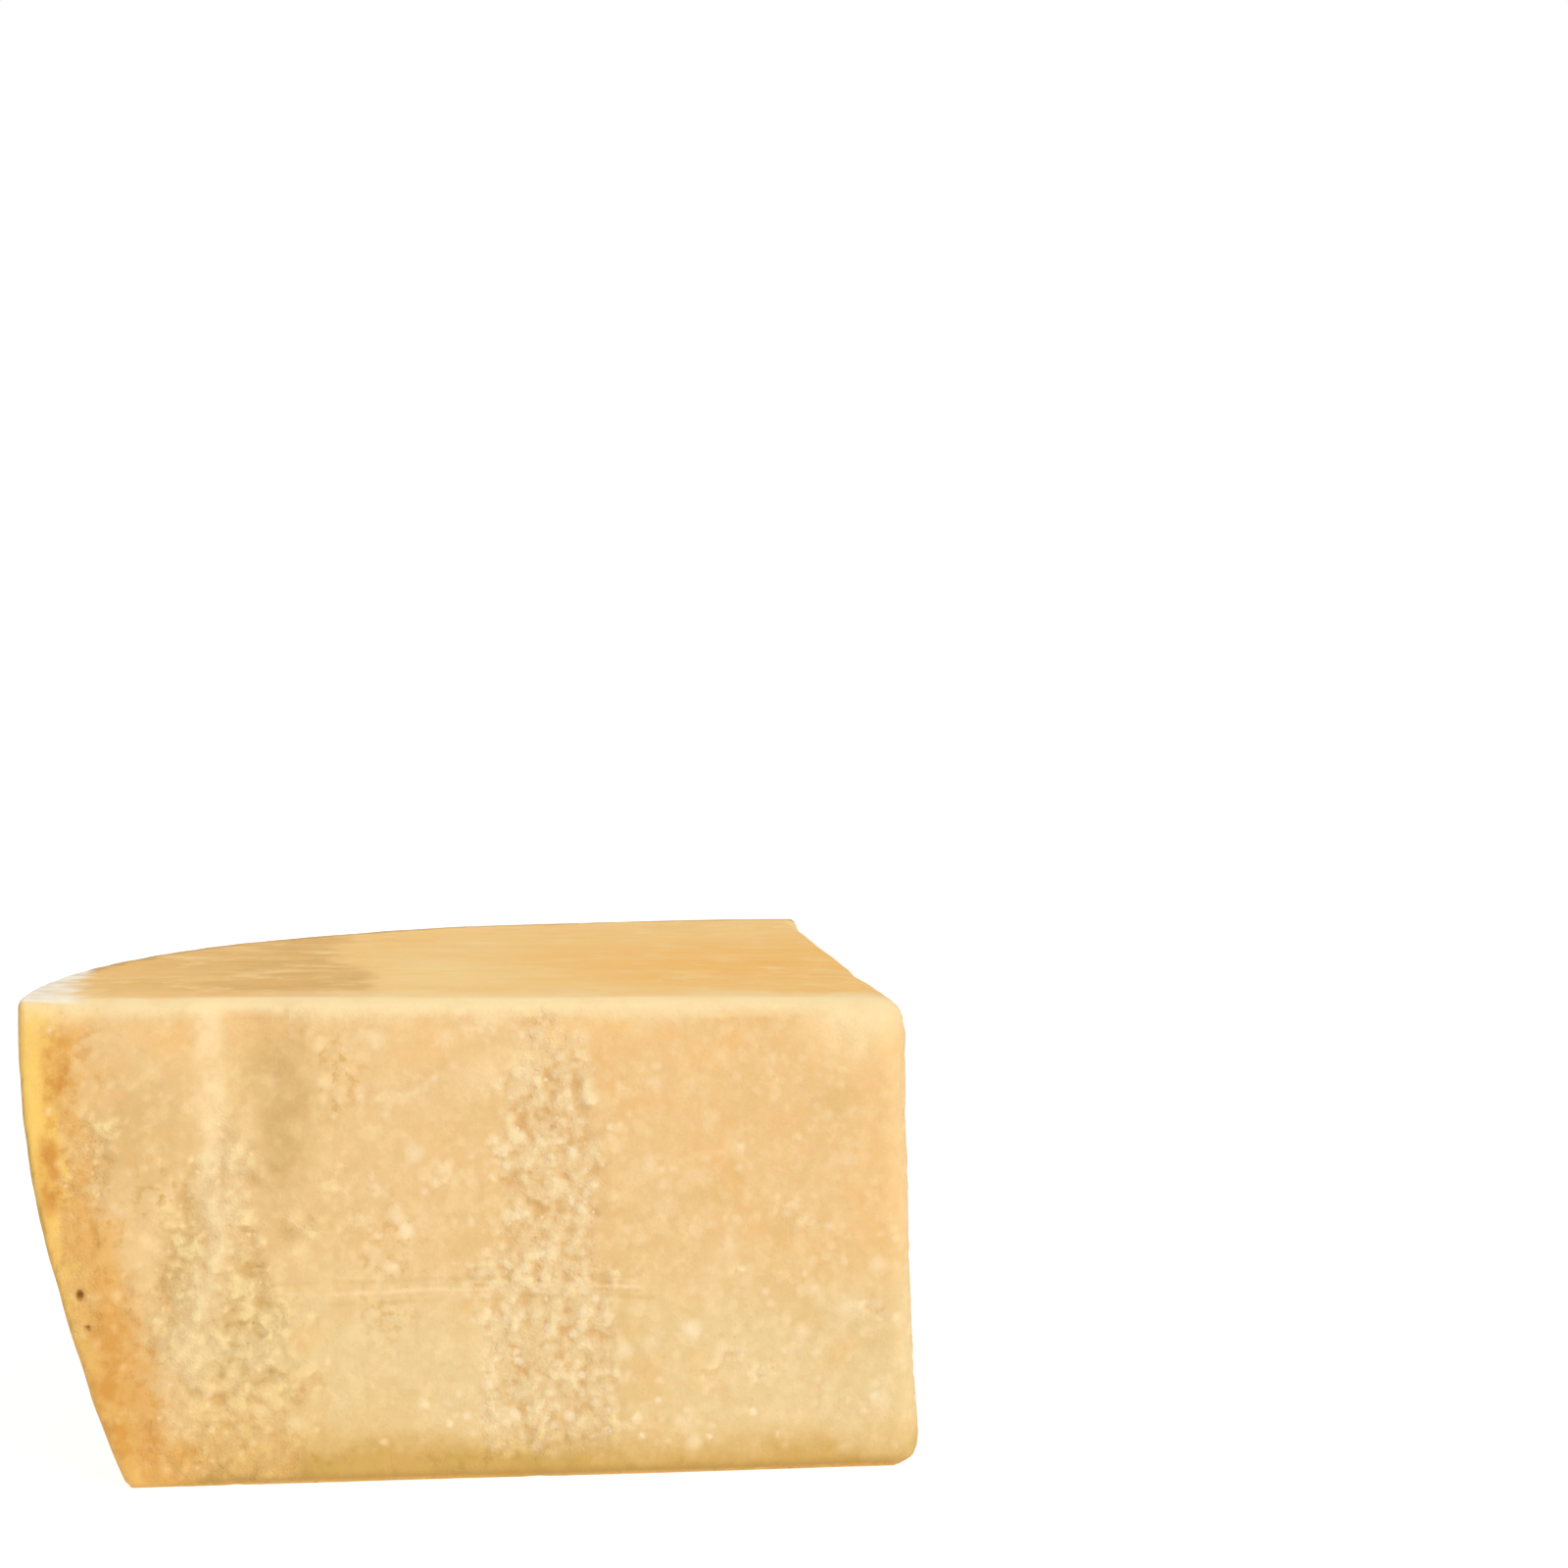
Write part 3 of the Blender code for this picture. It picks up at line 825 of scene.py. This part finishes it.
coarse = mark("coarse")
crumb_mark = mark("crumb")
drier = spread(under_side, *DRIER_DEPTHS)
crest_colour_and_highlight = layered(GOLD_CREST_AND_HIGHLIGHT, (CREST_COLOUR, drier))
gap_colour_and_shade = layered(OLIVE_GAP_AND_SHADE, (BROWN_GAP_AND_SHADE, drier))
crest_strength = spread(coarse, 0.0, 0.7, 0.20, 0.80)
gap_strength = times(spread(coarse, 0.1, 1.0, 0.10, 0.60), spread(drier, 0.0, 1.0, 0.85, 0.80))
paste = layered(
    paste,
    (PALE_STRAW, 0.60, coarse, drier),
    # Crests: drier paste and painted highlight. Gaps: browner paste and painted shade.
    (crest_colour_and_highlight, crest_strength, spread(crumb_mark, *CREST_LEVELS)),
    (gap_colour_and_shade, gap_strength, spread(crumb_mark, *GAP_LEVELS)),
    (gap_colour_and_shade, 0.30, coarse, spots(0.0030, 0.50, 0.66)),
)
tell("crumb")

# %% [markdown]
# ## Crystals
#
# Old grana has small white crystals, one to three millimetres across. Voronoi cells in three dimensions fit
# this well: the split cuts through each crystal at another height, so the dots come in many sizes. The
# three numbers of a cell's own random colour say whether it holds a crystal at all, how large it is and how
# pale. Round dots look like polka dots, so noise pushes them out of shape.

# %% One kind of crystal
PUSH_SHARE = 0.45
PUSH_SIZE = 1.4
SMALLEST = 0.4
FAINTEST = 0.45
SOFT_EDGE = 1.1
CHOICE_EDGE = 0.02


def pushed(amount, size):
    """The place, pushed about by noise: up to amount, over bumps of this size."""
    push = results("TexNoise", {"Vector": place, "Scale": 1 / size})["Color"]
    reach = (2 * amount, 2 * amount, 2 * amount)
    return results("VectorMath", {0: push, 1: reach, 2: place}, operation="MULTIPLY_ADD")["Vector"]


def crystals(spacing, radius, chosen, smear=1.0):
    """Soft uneven dots in a share of the cells: 1 in the palest, 0 outside. Smear draws them out along x."""
    uneven = stretched(smear, 1.0, 1.0, pushed(PUSH_SHARE * radius, PUSH_SIZE * radius))
    cells = results("TexVoronoi", {"Vector": uneven, "Scale": 1 / spacing})
    own = results("SeparateColor", {"Color": cells["Color"]})
    own_radius = spread(own["Green"], 0.0, 1.0, SMALLEST * radius / spacing, radius / spacing)
    dot = spread(reckon("DIVIDE", cells["Distance"], own_radius), SOFT_EDGE, 0.0)
    has_one = spread(own["Red"], 1.0 - chosen, 1.0 - chosen + CHOICE_EDGE)
    return times(dot, has_one, spread(own["Blue"], 0.0, 1.0, FAINTEST, 1.0))


# %% [markdown]
# ## Where the crystals lie
#
# Large and small crystals are scattered in loose clusters, with more of them low down and a row of them
# just above the foot. The coarse crumb has fine ones of its own, and the flecked places have larger ones
# with darker gaps between them.

# %% Scattered crystals
CRYSTAL_COLOUR = rgb(255, 232, 192)
GOLD_CRYSTAL = rgb(255, 227, 168)
MORE_BELOW = (0.080, 0.040)
FOOT_ROW_LOW = (0.004, 0.009)
FOOT_ROW_HIGH = (0.026, 0.015)

fleck = mark("fleck")
large_crystals = times(0.85, crystals(spacing=0.0088, radius=0.0032, chosen=0.60))
small_crystals = times(0.55, crystals(spacing=0.0036, radius=0.0017, chosen=0.50))
clusters = spread(mottle(0.020), 0.36, 0.58, 0.45, 1.0)
more_below = spread(under_foot, *MORE_BELOW, 0.60, 1.0)
foot_row = times(1.2, spread(under_foot, *FOOT_ROW_LOW), spread(under_foot, *FOOT_ROW_HIGH))
all_crystals = largest(
    times(clusters, more_below, largest(large_crystals, small_crystals)),
    times(foot_row, crystals(spacing=0.0050, radius=0.0024, chosen=0.70)),
    times(coarse, crystals(spacing=0.0028, radius=0.0014, chosen=0.75)),
    times(spread(fleck, 0.0, 0.7), crystals(spacing=0.0054, radius=0.0030, chosen=0.80)),
)
crystal_colour = layered(GOLD_CRYSTAL, (CRYSTAL_COLOUR, drier))
paste = layered(
    paste,
    (gap_colour_and_shade, 0.75, fleck, spots(0.0030, 0.50, 0.64, 3.0, 0.6)),
    (crystal_colour, 0.85, all_crystals),
)
tell("crystals")

# %% [markdown]
# ## Along the foot
#
# The paste dries from the outside, so a section through the rind has bands: an ochre edge, then a browner
# zone, then the paste. Along the foot the bands are dull. They fade under the coarse crumb, which is golden
# there with bright crests, partly painted highlight, and a thin dark line of painted contact shadow runs
# where the chunk meets the table. Noise shifts the bands, so that none looks ruled.

# %% Bands along the foot, and painted contact shadow
FOOT_EDGE = rgb(212, 170, 90)
FOOT_ZONE = rgb(233, 196, 132)
FOOT_SPECK_AND_CONTACT_SHADOW = rgb(188, 146, 72)
FOOT_OLIVE = rgb(203, 163, 80)
FOOT_CREST_AND_HIGHLIGHT = rgb(248, 206, 128)
FOOT_GOLD = rgb(238, 186, 106)
FADING_DEPTHS = (0.200, 0.165)
FOOT_ZONE_HEIGHTS = (0.017, 0.005)
FOOT_EDGE_HEIGHTS = (0.0120, 0.0020)
GOLD_HEIGHTS = (0.034, 0.010)
GOLD_DEPTHS = (0.080, 0.055)
CREST_HEIGHTS = (0.014, 0.006)
CONTACT_SHADOW_HEIGHTS = (0.0034, 0.0006)
SPECK_HEIGHTS = (0.0090, 0.0020)

band_shift = spread(mottle(0.011, 4.0, 0.65), 0.25, 0.75, -0.0042, 0.0042)
foot_shift = reckon("ADD", times(0.7, band_shift), spread(mottle(0.040), 0.34, 0.66, -0.0025, 0.0015))
foot_depth = reckon("ADD", under_foot, foot_shift)
under_crumb = spread(coarse, 0.3, 0.9, 1.0, 0.62)
fading_foot = times(under_crumb, spread(under_side, *FADING_DEPTHS, 0.60, 1.0))
foot_colour = layered(FOOT_EDGE, (FOOT_OLIVE, 0.70, spots(0.014, 0.46, 0.62, 3.0, 0.6)))
foot_specks = times(spots(0.0040, 0.52, 0.68, 4.0, 0.7), spots(0.030, 0.36, 0.54))
paste = layered(
    paste,
    (FOOT_ZONE, 0.75, under_crumb, spread(foot_depth, *FOOT_ZONE_HEIGHTS)),
    (foot_colour, 0.95, fading_foot, spread(foot_depth, *FOOT_EDGE_HEIGHTS)),
    (FOOT_GOLD, 0.40, coarse, spread(under_foot, *GOLD_HEIGHTS), spread(under_side, *GOLD_DEPTHS)),
    # Bright crests near the foot: drier paste and partly painted highlight.
    (FOOT_CREST_AND_HIGHLIGHT, 0.60, coarse, spread(crumb_mark, 0.10, 0.50), spread(under_foot, *CREST_HEIGHTS)),
    # Painted contact shadow: a thin dark line at the very foot.
    (FOOT_SPECK_AND_CONTACT_SHADOW, 0.80, spread(under_foot, *CONTACT_SHADOW_HEIGHTS)),
    (FOOT_SPECK_AND_CONTACT_SHADOW, 0.50, foot_specks, spread(foot_depth, *SPECK_HEIGHTS)),
)
tell("foot")

# %% [markdown]
# ## Under the round rind
#
# Round the side the bands are bright and wide: a yellow edge against the rind, and an orange zone behind
# it. Near the cut the edge is brightest and narrowest, and the zone is golden.

# %% Bands along the side
SIDE_EDGE = rgb(250, 205, 106)
LOW_SIDE_EDGE = rgb(237, 192, 108)
SIDE_ZONE = rgb(234, 182, 102)
GOLD_ZONE = rgb(252, 206, 122)
ZONE_DEPTHS = (0.020, 0.010)
ZONE_HEIGHTS = (0.055, 0.090)
GOLD_ZONE_DEPTHS = (0.016, 0.009)
NEAR_CUT = (0.082, 0.098)
EDGE_DEPTHS = (0.0072, 0.0036)
EDGE_HEIGHTS = (0.030, 0.080)
EDGE_NARROWING = 0.0036

side_depth = reckon("ADD", under_side, band_shift)
edge_depth = reckon("SUBTRACT", side_depth, spread(under_foot, *NEAR_CUT, 0.0, EDGE_NARROWING))
side_edge = layered(LOW_SIDE_EDGE, (SIDE_EDGE, spread(under_foot, *EDGE_HEIGHTS)))
gold_zone = times(spread(side_depth, *GOLD_ZONE_DEPTHS), spread(under_foot, *NEAR_CUT))
paste = layered(
    paste,
    (SIDE_ZONE, 0.85, spread(side_depth, *ZONE_DEPTHS), spread(under_foot, *ZONE_HEIGHTS, 1.0, 0.40)),
    (GOLD_ZONE, 0.55, gold_zone, spots(0.007, 0.34, 0.58, 4.0, 0.6)),
    (side_edge, 0.95, spread(edge_depth, *EDGE_DEPTHS)),
)
tell("side")

# %% [markdown]
# ## Stains near the rind
#
# The stain mark says where the paste is browned, and blotches of noise break it up. Small blots and pale
# flecks lie in the whole zone, the crystals show through all of it, and the last millimetre is specked with
# dark pores.

# %% Stains and flecks
STAIN_COLOUR = rgb(212, 146, 58)
FAINT_STAIN = rgb(234, 177, 92)
RIM_SPECK = rgb(150, 104, 48)
ZONE_FLECK = rgb(252, 214, 150)
FAINT_DEPTHS = (0.019, 0.012)
FAINT_START = (0.0040, 0.0085)
STAIN_HEIGHTS = (0.030, 0.085)
NEAR_RIND = (0.026, 0.012)
INSIDE_EDGE = (0.003, 0.007)
OFF_FOOT = (0.002, 0.006)
RIM_DEPTHS = (0.0020, 0.0006)
RIM_HEIGHTS = (0.090, 0.060)

stain = mark("stain")
blotches = spots(0.0060, 0.36, 0.68, 3.0, 0.6)
faint_stain = times(spread(side_depth, *FAINT_DEPTHS), spread(side_depth, *FAINT_START))
strong_stain = times(0.90, spread(stain, 0.0, 0.8), spread(blotches, 0.0, 1.0, 0.40, 1.0))
near_rind = times(spread(side_depth, *NEAR_RIND), spread(under_side, *INSIDE_EDGE))
rim_specks = times(spread(under_side, *RIM_DEPTHS), spots(0.0034, 0.52, 0.60))
paste = layered(
    paste,
    (FAINT_STAIN, 0.75, blotches, largest(faint_stain, stain)),
    (STAIN_COLOUR, strong_stain, spread(under_foot, *STAIN_HEIGHTS, 0.75, 1.0)),
    (STAIN_COLOUR, 0.45, near_rind, spots(0.0034, 0.53, 0.66, 4.0, 0.65)),
    (ZONE_FLECK, 0.80, near_rind, crystals(spacing=0.0046, radius=0.0021, chosen=0.65)),
    (crystal_colour, 0.40, all_crystals, spread(under_foot, *OFF_FOOT)),
    (RIM_SPECK, 0.60, rim_specks, spread(under_foot, *RIM_HEIGHTS)),
)
tell("stains")

# %% [markdown]
# ## Painted light and shade on the groove, and the scratch
#
# The flank of the groove near the rind faces the lamp and is painted pale, as a painted highlight, and the
# flank near the heart is painted darker, as painted shade. The crests that cross the face get the same
# painted highlight. Across the front runs one hair-thin scratch. It is finer than the mesh, so it is drawn
# by height alone: a pale line and a fainter shade beside it, broken up by noise.

# %% Painted light and shade on the groove, and scratch
GROOVE_AND_CREST_HIGHLIGHT = rgb(253, 224, 172)
GROOVE_FLANK_SHADE = rgb(205, 164, 100)
SCRATCH_LOW = 0.0433
SCRATCH_HIGH = 0.0443
SCRATCH_WIDTH = (0.0009, 0.0)
SCRATCH_SHADE = 0.0024
SHADE_WIDTH = (0.0010, 0.0)
SCRATCH_START = (-0.150, -0.140)
SCRATCH_END = (-0.050, -0.060)

groove_light_and_shade = mark("groove")
patchy = spread(mottle(0.006, 3.0), 0.30, 0.62, 0.35, 1.0)
from_middle = results("SeparateXYZ", {"Vector": place})
from_axis = reckon("SUBTRACT", from_middle["X"], wheel_axis.x)
on_front = mark("front")
scratch_place = spread(mottle(0.03), 0.3, 0.7, SCRATCH_LOW, SCRATCH_HIGH)
from_scratch = reckon("ABSOLUTE", reckon("SUBTRACT", from_middle["Z"], scratch_place))
from_shade = reckon("ABSOLUTE", reckon("SUBTRACT", from_scratch, SCRATCH_SHADE))
ends = times(spread(from_axis, *SCRATCH_START), spread(from_axis, *SCRATCH_END))
scratched = times(on_front, ends, spots(0.008, 0.35, 0.55))
paste = layered(
    paste,
    # Painted highlight on the crests and on the groove's flank near the rind, painted shade on its other
    # flank.
    (GROOVE_AND_CREST_HIGHLIGHT, 0.70, patchy, mark("crest")),
    (GROOVE_AND_CREST_HIGHLIGHT, 0.75, patchy, spread(groove_light_and_shade, 0.0, 1.0)),
    (GROOVE_FLANK_SHADE, 0.60, patchy, spread(groove_light_and_shade, 0.0, -1.0)),
    (CREST_COLOUR, 0.45, scratched, spread(from_scratch, *SCRATCH_WIDTH)),
    (SHADE_STRAW, 0.35, scratched, spread(from_shade, *SHADE_WIDTH)),
)
tell("groove and scratch")

# %% [markdown]
# ## Below the cut
#
# The paste just below the cut is a pale cream: partly dried paste, and partly a painted highlight on the
# rounded top edge. A band of warmer patches lies under it. The last centimetre before the heart is a little
# warmer too.

# %% Warm band, and dry edge with painted highlight
WORN_CREAM_AND_HIGHLIGHT = rgb(255, 228, 174)
WARM_PASTE = rgb(249, 198, 126)
WARM_DEPTHS = (0.019, 0.008)
WARM_START = (0.002, 0.006)
DRY_AND_HIGHLIT_DEPTHS = (0.007, 0.000)
WARM_END = (-0.018, -0.006)
WARM_END_HEIGHTS = (0.035, 0.055)

below_cut = reckon("ADD", mark("under_cut"), times(0.8, band_shift))
warm_band = times(on_front, spread(below_cut, *WARM_DEPTHS), spread(below_cut, *WARM_START))
warm_patches = times(spread(groove_light_and_shade, 0.4, 0.0), spots(0.024, 0.36, 0.66, 4.0, 0.6))
paste = layered(
    paste,
    (WARM_PASTE, 0.50, warm_band, warm_patches),
    # Dried paste and a painted highlight on the rounded top edge.
    (WORN_CREAM_AND_HIGHLIGHT, 0.55, spread(below_cut, *DRY_AND_HIGHLIT_DEPTHS)),
    (WARM_PASTE, 0.30, on_front, spread(from_axis, *WARM_END), spread(under_foot, *WARM_END_HEIGHTS)),
)
tell("whole paste")

# %% [markdown]
# ## The cut on top
#
# The smooth cut is drier and more ochre than the split faces. It has three large patches: a tan one on the
# left, painted as the shade of a slight hollow, a creamy one beside it, and an amber one over the heart, all
# with soft streaks along the cut. Behind the front edge it is paler, and a dull line runs along the rind.
# The blade smears the paste over the crystals, so there are few of them, drawn out along the cut.

# %% Cut top
TOP_COLOUR = rgb(253, 202, 121)
TOP_STREAK = rgb(255, 213, 142)
TOP_OCHRE = rgb(250, 190, 96)
TOP_TAN_AND_SHADE = rgb(214, 161, 76)
TOP_CREAM = rgb(255, 216, 138)
TOP_AMBER = rgb(252, 184, 82)
TOP_RIM = rgb(190, 150, 84)
TOP_MARGIN = rgb(255, 218, 156)
TAN_END = (-0.120, -0.130)
TAN_RISE = (-0.190, -0.136)
TAN_WANDER = 0.008
MARGIN = (0.022, 0.0)
MARGIN_RISE = (-0.150, -0.115)
MARGIN_WANDER = 0.006
RIM_LINE = (0.0066, 0.0030)

streaks = mottle(1.0, 3.0, 0.6, stretched(0.055, 0.0080, 0.020))
fine_streaks = mottle(1.0, 2.0, 0.5, stretched(0.030, 0.0060, 0.020))
patchy_top = spread(mottle(0.018, 4.0, 0.6), 0.25, 0.60, 0.60, 1.0)
tan_shift = spread(mottle(0.034, 3.0, 0.6), 0.25, 0.75, -TAN_WANDER, TAN_WANDER)
tan_place = reckon("ADD", from_axis, tan_shift)
from_front = reckon("SUBTRACT", from_middle["Y"], wheel_axis.y)
margin_shift = spread(mottle(0.020), 0.30, 0.70, -MARGIN_WANDER, MARGIN_WANDER)
margin = spread(reckon("ADD", from_front, margin_shift), *MARGIN)
rim_depth = reckon("ADD", under_side, times(0.35, band_shift))
smeared = crystals(spacing=0.0048, radius=0.0021, chosen=0.40, smear=1.6)
top = layered(
    TOP_COLOUR,
    (TOP_OCHRE, 0.60, spots(0.048, 0.42, 0.64, 4.0, 0.6)),
    (TOP_AMBER, 0.95, patchy_top, mark("amber")),
    (TOP_CREAM, 0.90, patchy_top, mark("cream")),
    (TOP_TAN_AND_SHADE, 0.20, spots(0.030, 0.50, 0.75, 3.0, 0.6)),
    # The tan patch on the left is painted shade of a slight hollow.
    (TOP_TAN_AND_SHADE, 0.80, patchy_top, spread(tan_place, *TAN_END), spread(tan_place, *TAN_RISE, 0.40, 1.0)),
    (TOP_STREAK, 0.45, spread(streaks, 0.48, 0.74)),
    (TOP_OCHRE, 0.45, spread(fine_streaks, 0.48, 0.70)),
    (TOP_STREAK, 0.60, spots(0.012, 0.48, 0.70, 4.0, 0.6)),
    (TOP_MARGIN, 0.75, margin, spread(from_axis, *MARGIN_RISE, 0.45, 1.0)),
    (TOP_RIM, 0.85, spread(rim_depth, *RIM_LINE)),
    (CRYSTAL_COLOUR, 0.60, spots(0.026, 0.45, 0.60), smeared),
)
tell("top")

# %% [markdown]
# ## Worn edges with painted highlights, and the pale corner with painted glare
#
# The worn edges are a pale cream: partly worn paste, and partly a painted highlight where the rounded
# edges face the lamps. At the front corner, where the rind, the front and the cut meet, the cheese is
# driest, and a painted glare of the waxy cut lies over it: a nearly white rim starts there and tapers off
# along the rind.

# %% Worn edges and painted highlights
PALE_CORNER_AND_GLARE = rgb(255, 243, 221)
WORN_DEPTHS = (0.002, 0.012)
CORNER_DEPTHS = (0.0165, 0.0105)
CORNER_TAPER = 0.16
CORNER_WANDER = 0.002

cut_top = mark("cut_top")
# Painted highlight on the rounded edges, over some real wear.
worn = times(0.85, mark("worn"), spread(mottle(0.009, 3.0), 0.30, 0.55, 0.55, 1.0))
corner_shift = spread(mottle(0.010, 3.0), 0.30, 0.70, -CORNER_WANDER, CORNER_WANDER)
corner_depth = reckon("ADD", reckon("ADD", under_side, times(CORNER_TAPER, from_front)), corner_shift)
# Pale corner: dry paste with a painted glare.
pale_corner_and_glare = times(spread(corner_depth, *CORNER_DEPTHS), spread(cut_top, 0.0, 0.8))
cheese = layered(
    paste,
    (top, cut_top),
    (WORN_CREAM_AND_HIGHLIGHT, worn, spread(side_depth, *WORN_DEPTHS, 0.50, 1.0)),
    (PALE_CORNER_AND_GLARE, pale_corner_and_glare, spread(mottle(0.007, 3.0), 0.30, 0.60, 0.60, 0.95)),
)
tell("worn edges")

# %% [markdown]
# ## The rind
#
# The rind is gold. It drifts slowly between olive and amber, and close up it is speckled: pale flecks of a
# few millimetres, and darker pores between them. Its colour has nothing to do with how deep the paste is,
# so it is built as a finish of its own and then laid over the paste where the rind mark is 1.

# %% Rind colours
RIND_GOLD = rgb(222, 173, 88)
RIND_OLIVE = rgb(204, 160, 72)
RIND_AMBER = rgb(228, 170, 84)
RIND_FLECK = rgb(236, 194, 120)
RIND_PORE = rgb(176, 128, 58)
HOLE_PAINTED_SHADE = rgb(148, 84, 16)
HOLE_EDGE = (0.05, 0.85)
RIND_MOTTLING = (
    Mottling(RIND_OLIVE, 0.80, 0.0500, 0.46, 0.62, 3.0, 0.5),
    Mottling(RIND_AMBER, 0.80, 0.0340, 0.48, 0.64, 3.0, 0.5),
    Mottling(RIND_FLECK, 0.60, 0.0042, 0.50, 0.70, 4.0, 0.6),
    Mottling(RIND_PORE, 0.35, 0.0100, 0.54, 0.74, 5.0, 0.65),
    Mottling(RIND_PORE, 0.65, 0.0019, 0.54, 0.74, 3.0, 0.6),
)

rind = mottled(RIND_GOLD, RIND_MOTTLING)
rind_skin = mark("rind_skin")
# The dark colour in the holes and the rind's pits is painted shade.
cheese = layered(cheese, (rind, rind_skin), (HOLE_PAINTED_SHADE, 0.9, spread(mark("hole"), *HOLE_EDGE)))
feed(shader.inputs["Base Color"], cheese)
tell("rind")

# %% [markdown]
# ## Gloss, glow and the finest relief
#
# Light goes a few millimetres into cheese and comes out again, which softens the crumbs and warms the gaps.
# That is subsurface scattering, and a small share of it is enough. The rind is waxy, so it is a little
# glossier than the paste. What is finer than the cells of the mesh is bump: powdery crumb on the split
# faces, hair-thin streaks on the top, and pores in the rind.

# %% Gloss, glow and bump
BUMP_HEIGHT = 0.0005
BUMP_STRENGTH = 0.8
STREAK_SHARE = 0.4
PORE_SHARE = 0.8
CRYSTAL_SHARE = 0.15

shader.inputs["Subsurface Weight"].default_value = 0.22
shader.inputs["Subsurface Radius"].default_value = (1.0, 0.55, 0.25)
shader.inputs["Subsurface Scale"].default_value = 0.0035
shader.inputs["IOR"].default_value = 1.45
shader.inputs["Specular IOR Level"].default_value = 0.3


def blend_value(first, second, share):
    return results("Mix", {"Factor": share, "A": first, "B": second})["Result"]


paste_roughness = spread(mottle(0.004), 0.3, 0.7, 0.55, 0.70)
rind_roughness = spread(mottle(0.006), 0.3, 0.7, 0.38, 0.55)
feed(shader.inputs["Roughness"], blend_value(paste_roughness, rind_roughness, rind_skin))

powder = times(mottle(0.0007, 3.0, 0.6), spread(coarse, 0.0, 1.0, 0.55, 1.4))
hair_streaks = times(STREAK_SHARE, mottle(1.0, 2.0, 0.5, stretched(0.040, 0.0011, 0.010)))
pores = times(PORE_SHARE, mottle(0.0012, 4.0, 0.65))
height = blend_value(blend_value(powder, hair_streaks, cut_top), pores, rind_skin)
standing_crystals = times(CRYSTAL_SHARE, all_crystals, reckon("SUBTRACT", 1.0, rind_skin))
height = reckon("ADD", height, standing_crystals)
relief = results("Bump", {"Distance": BUMP_HEIGHT, "Strength": BUMP_STRENGTH, "Height": height})
feed(shader.inputs["Normal"], relief["Normal"])
chunk_mesh.materials.clear()
chunk_mesh.materials.append(paste_finish)
tell("whole finish")

# %% [markdown]
# ## The table and the light
#
# The chunk lies on a pale table in even white light. The surroundings are bright from every side. A wide
# soft lamp from the front right gives the crumbs their shading, and a weaker, wider one from behind lights
# the rind. Both are suns with a wide disc, so the light doesn't fall off towards the edge of the table.
# Behind the chunk the camera sees plain white, and the table glows a little to match it.

# %% Table and light
TABLE_SIZE = 8.0
TABLE_COLOUR = rgb(156, 156, 156)
TABLE_GLOW = 0.80
TABLE_GAP = 0.0002
SURROUNDINGS = 0.34
Lamp = namedtuple("Lamp", "name strength elevation azimuth width")
LAMPS = (Lamp("key_lamp", 1.75, 44, 32, 35), Lamp("fill_lamp", 0.92, 42, 215, 60))

bpy.ops.mesh.primitive_plane_add(size=TABLE_SIZE)
table = bpy.context.object
table.name = "table"
table.location.z = -TABLE_GAP
table_finish = bpy.data.materials.new("pale_table")
table_finish.use_nodes = True
table_shader = table_finish.node_tree.nodes["Principled BSDF"]
table_shader.inputs["Base Color"].default_value = TABLE_COLOUR
table_shader.inputs["Roughness"].default_value = 0.8
table_shader.inputs["Emission Color"].default_value = (1.0, 1.0, 1.0, 1.0)
table_shader.inputs["Emission Strength"].default_value = TABLE_GLOW
table.data.materials.append(table_finish)

world = bpy.data.worlds.new("white_room")
bpy.context.scene.world = world
world.use_nodes = True
room = world.node_tree
background = room.nodes["Background"]
seen = room.nodes.new("ShaderNodeLightPath")
strength = room.nodes.new("ShaderNodeMapRange")
strength.inputs["To Min"].default_value = SURROUNDINGS
strength.inputs["To Max"].default_value = 1.0
room.links.new(seen.outputs["Is Camera Ray"], strength.inputs["Value"])
room.links.new(strength.outputs["Result"], background.inputs["Strength"])
background.inputs["Color"].default_value = (1.0, 1.0, 1.0, 1.0)

for lamp in LAMPS:
    sun = bpy.data.lights.new(lamp.name, "SUN")
    sun.energy = lamp.strength
    sun.angle = math.radians(lamp.width)
    lamp_object = bpy.data.objects.new(lamp.name, sun)
    bpy.context.collection.objects.link(lamp_object)
    lamp_object.rotation_euler = (math.radians(90 - lamp.elevation), 0.0, math.radians(lamp.azimuth))
print("lamps:", [lamp.name for lamp in LAMPS])

# %% [markdown]
# ## The camera
#
# The photograph was taken from just above the top of the chunk, a little to the left of its middle, with
# the chunk low and left in the picture. The camera was found by fitting the corners and the round edge of
# the top. Its place is counted from the wheel's axis.

# %% Camera
CAMERA_FROM_AXIS = Vector((-0.1324, -0.8373, 0.2030))
CAMERA_TURN = math.radians(-7.15)
CAMERA_DIP = math.radians(3.03)
LENS = 85
FILM_WIDTH = 36

camera_data = bpy.data.cameras.new("camera")
camera_data.lens = LENS
camera_data.sensor_width = FILM_WIDTH
camera = bpy.data.objects.new("camera", camera_data)
bpy.context.collection.objects.link(camera)
camera.location = CAMERA_FROM_AXIS + wheel_axis
camera.rotation_euler = (math.pi / 2 - CAMERA_DIP, 0.0, CAMERA_TURN)
bpy.context.scene.camera = camera
bpy.context.scene.view_settings.view_transform = "Standard"
print("camera at", tuple(round(value, 3) for value in camera.location))
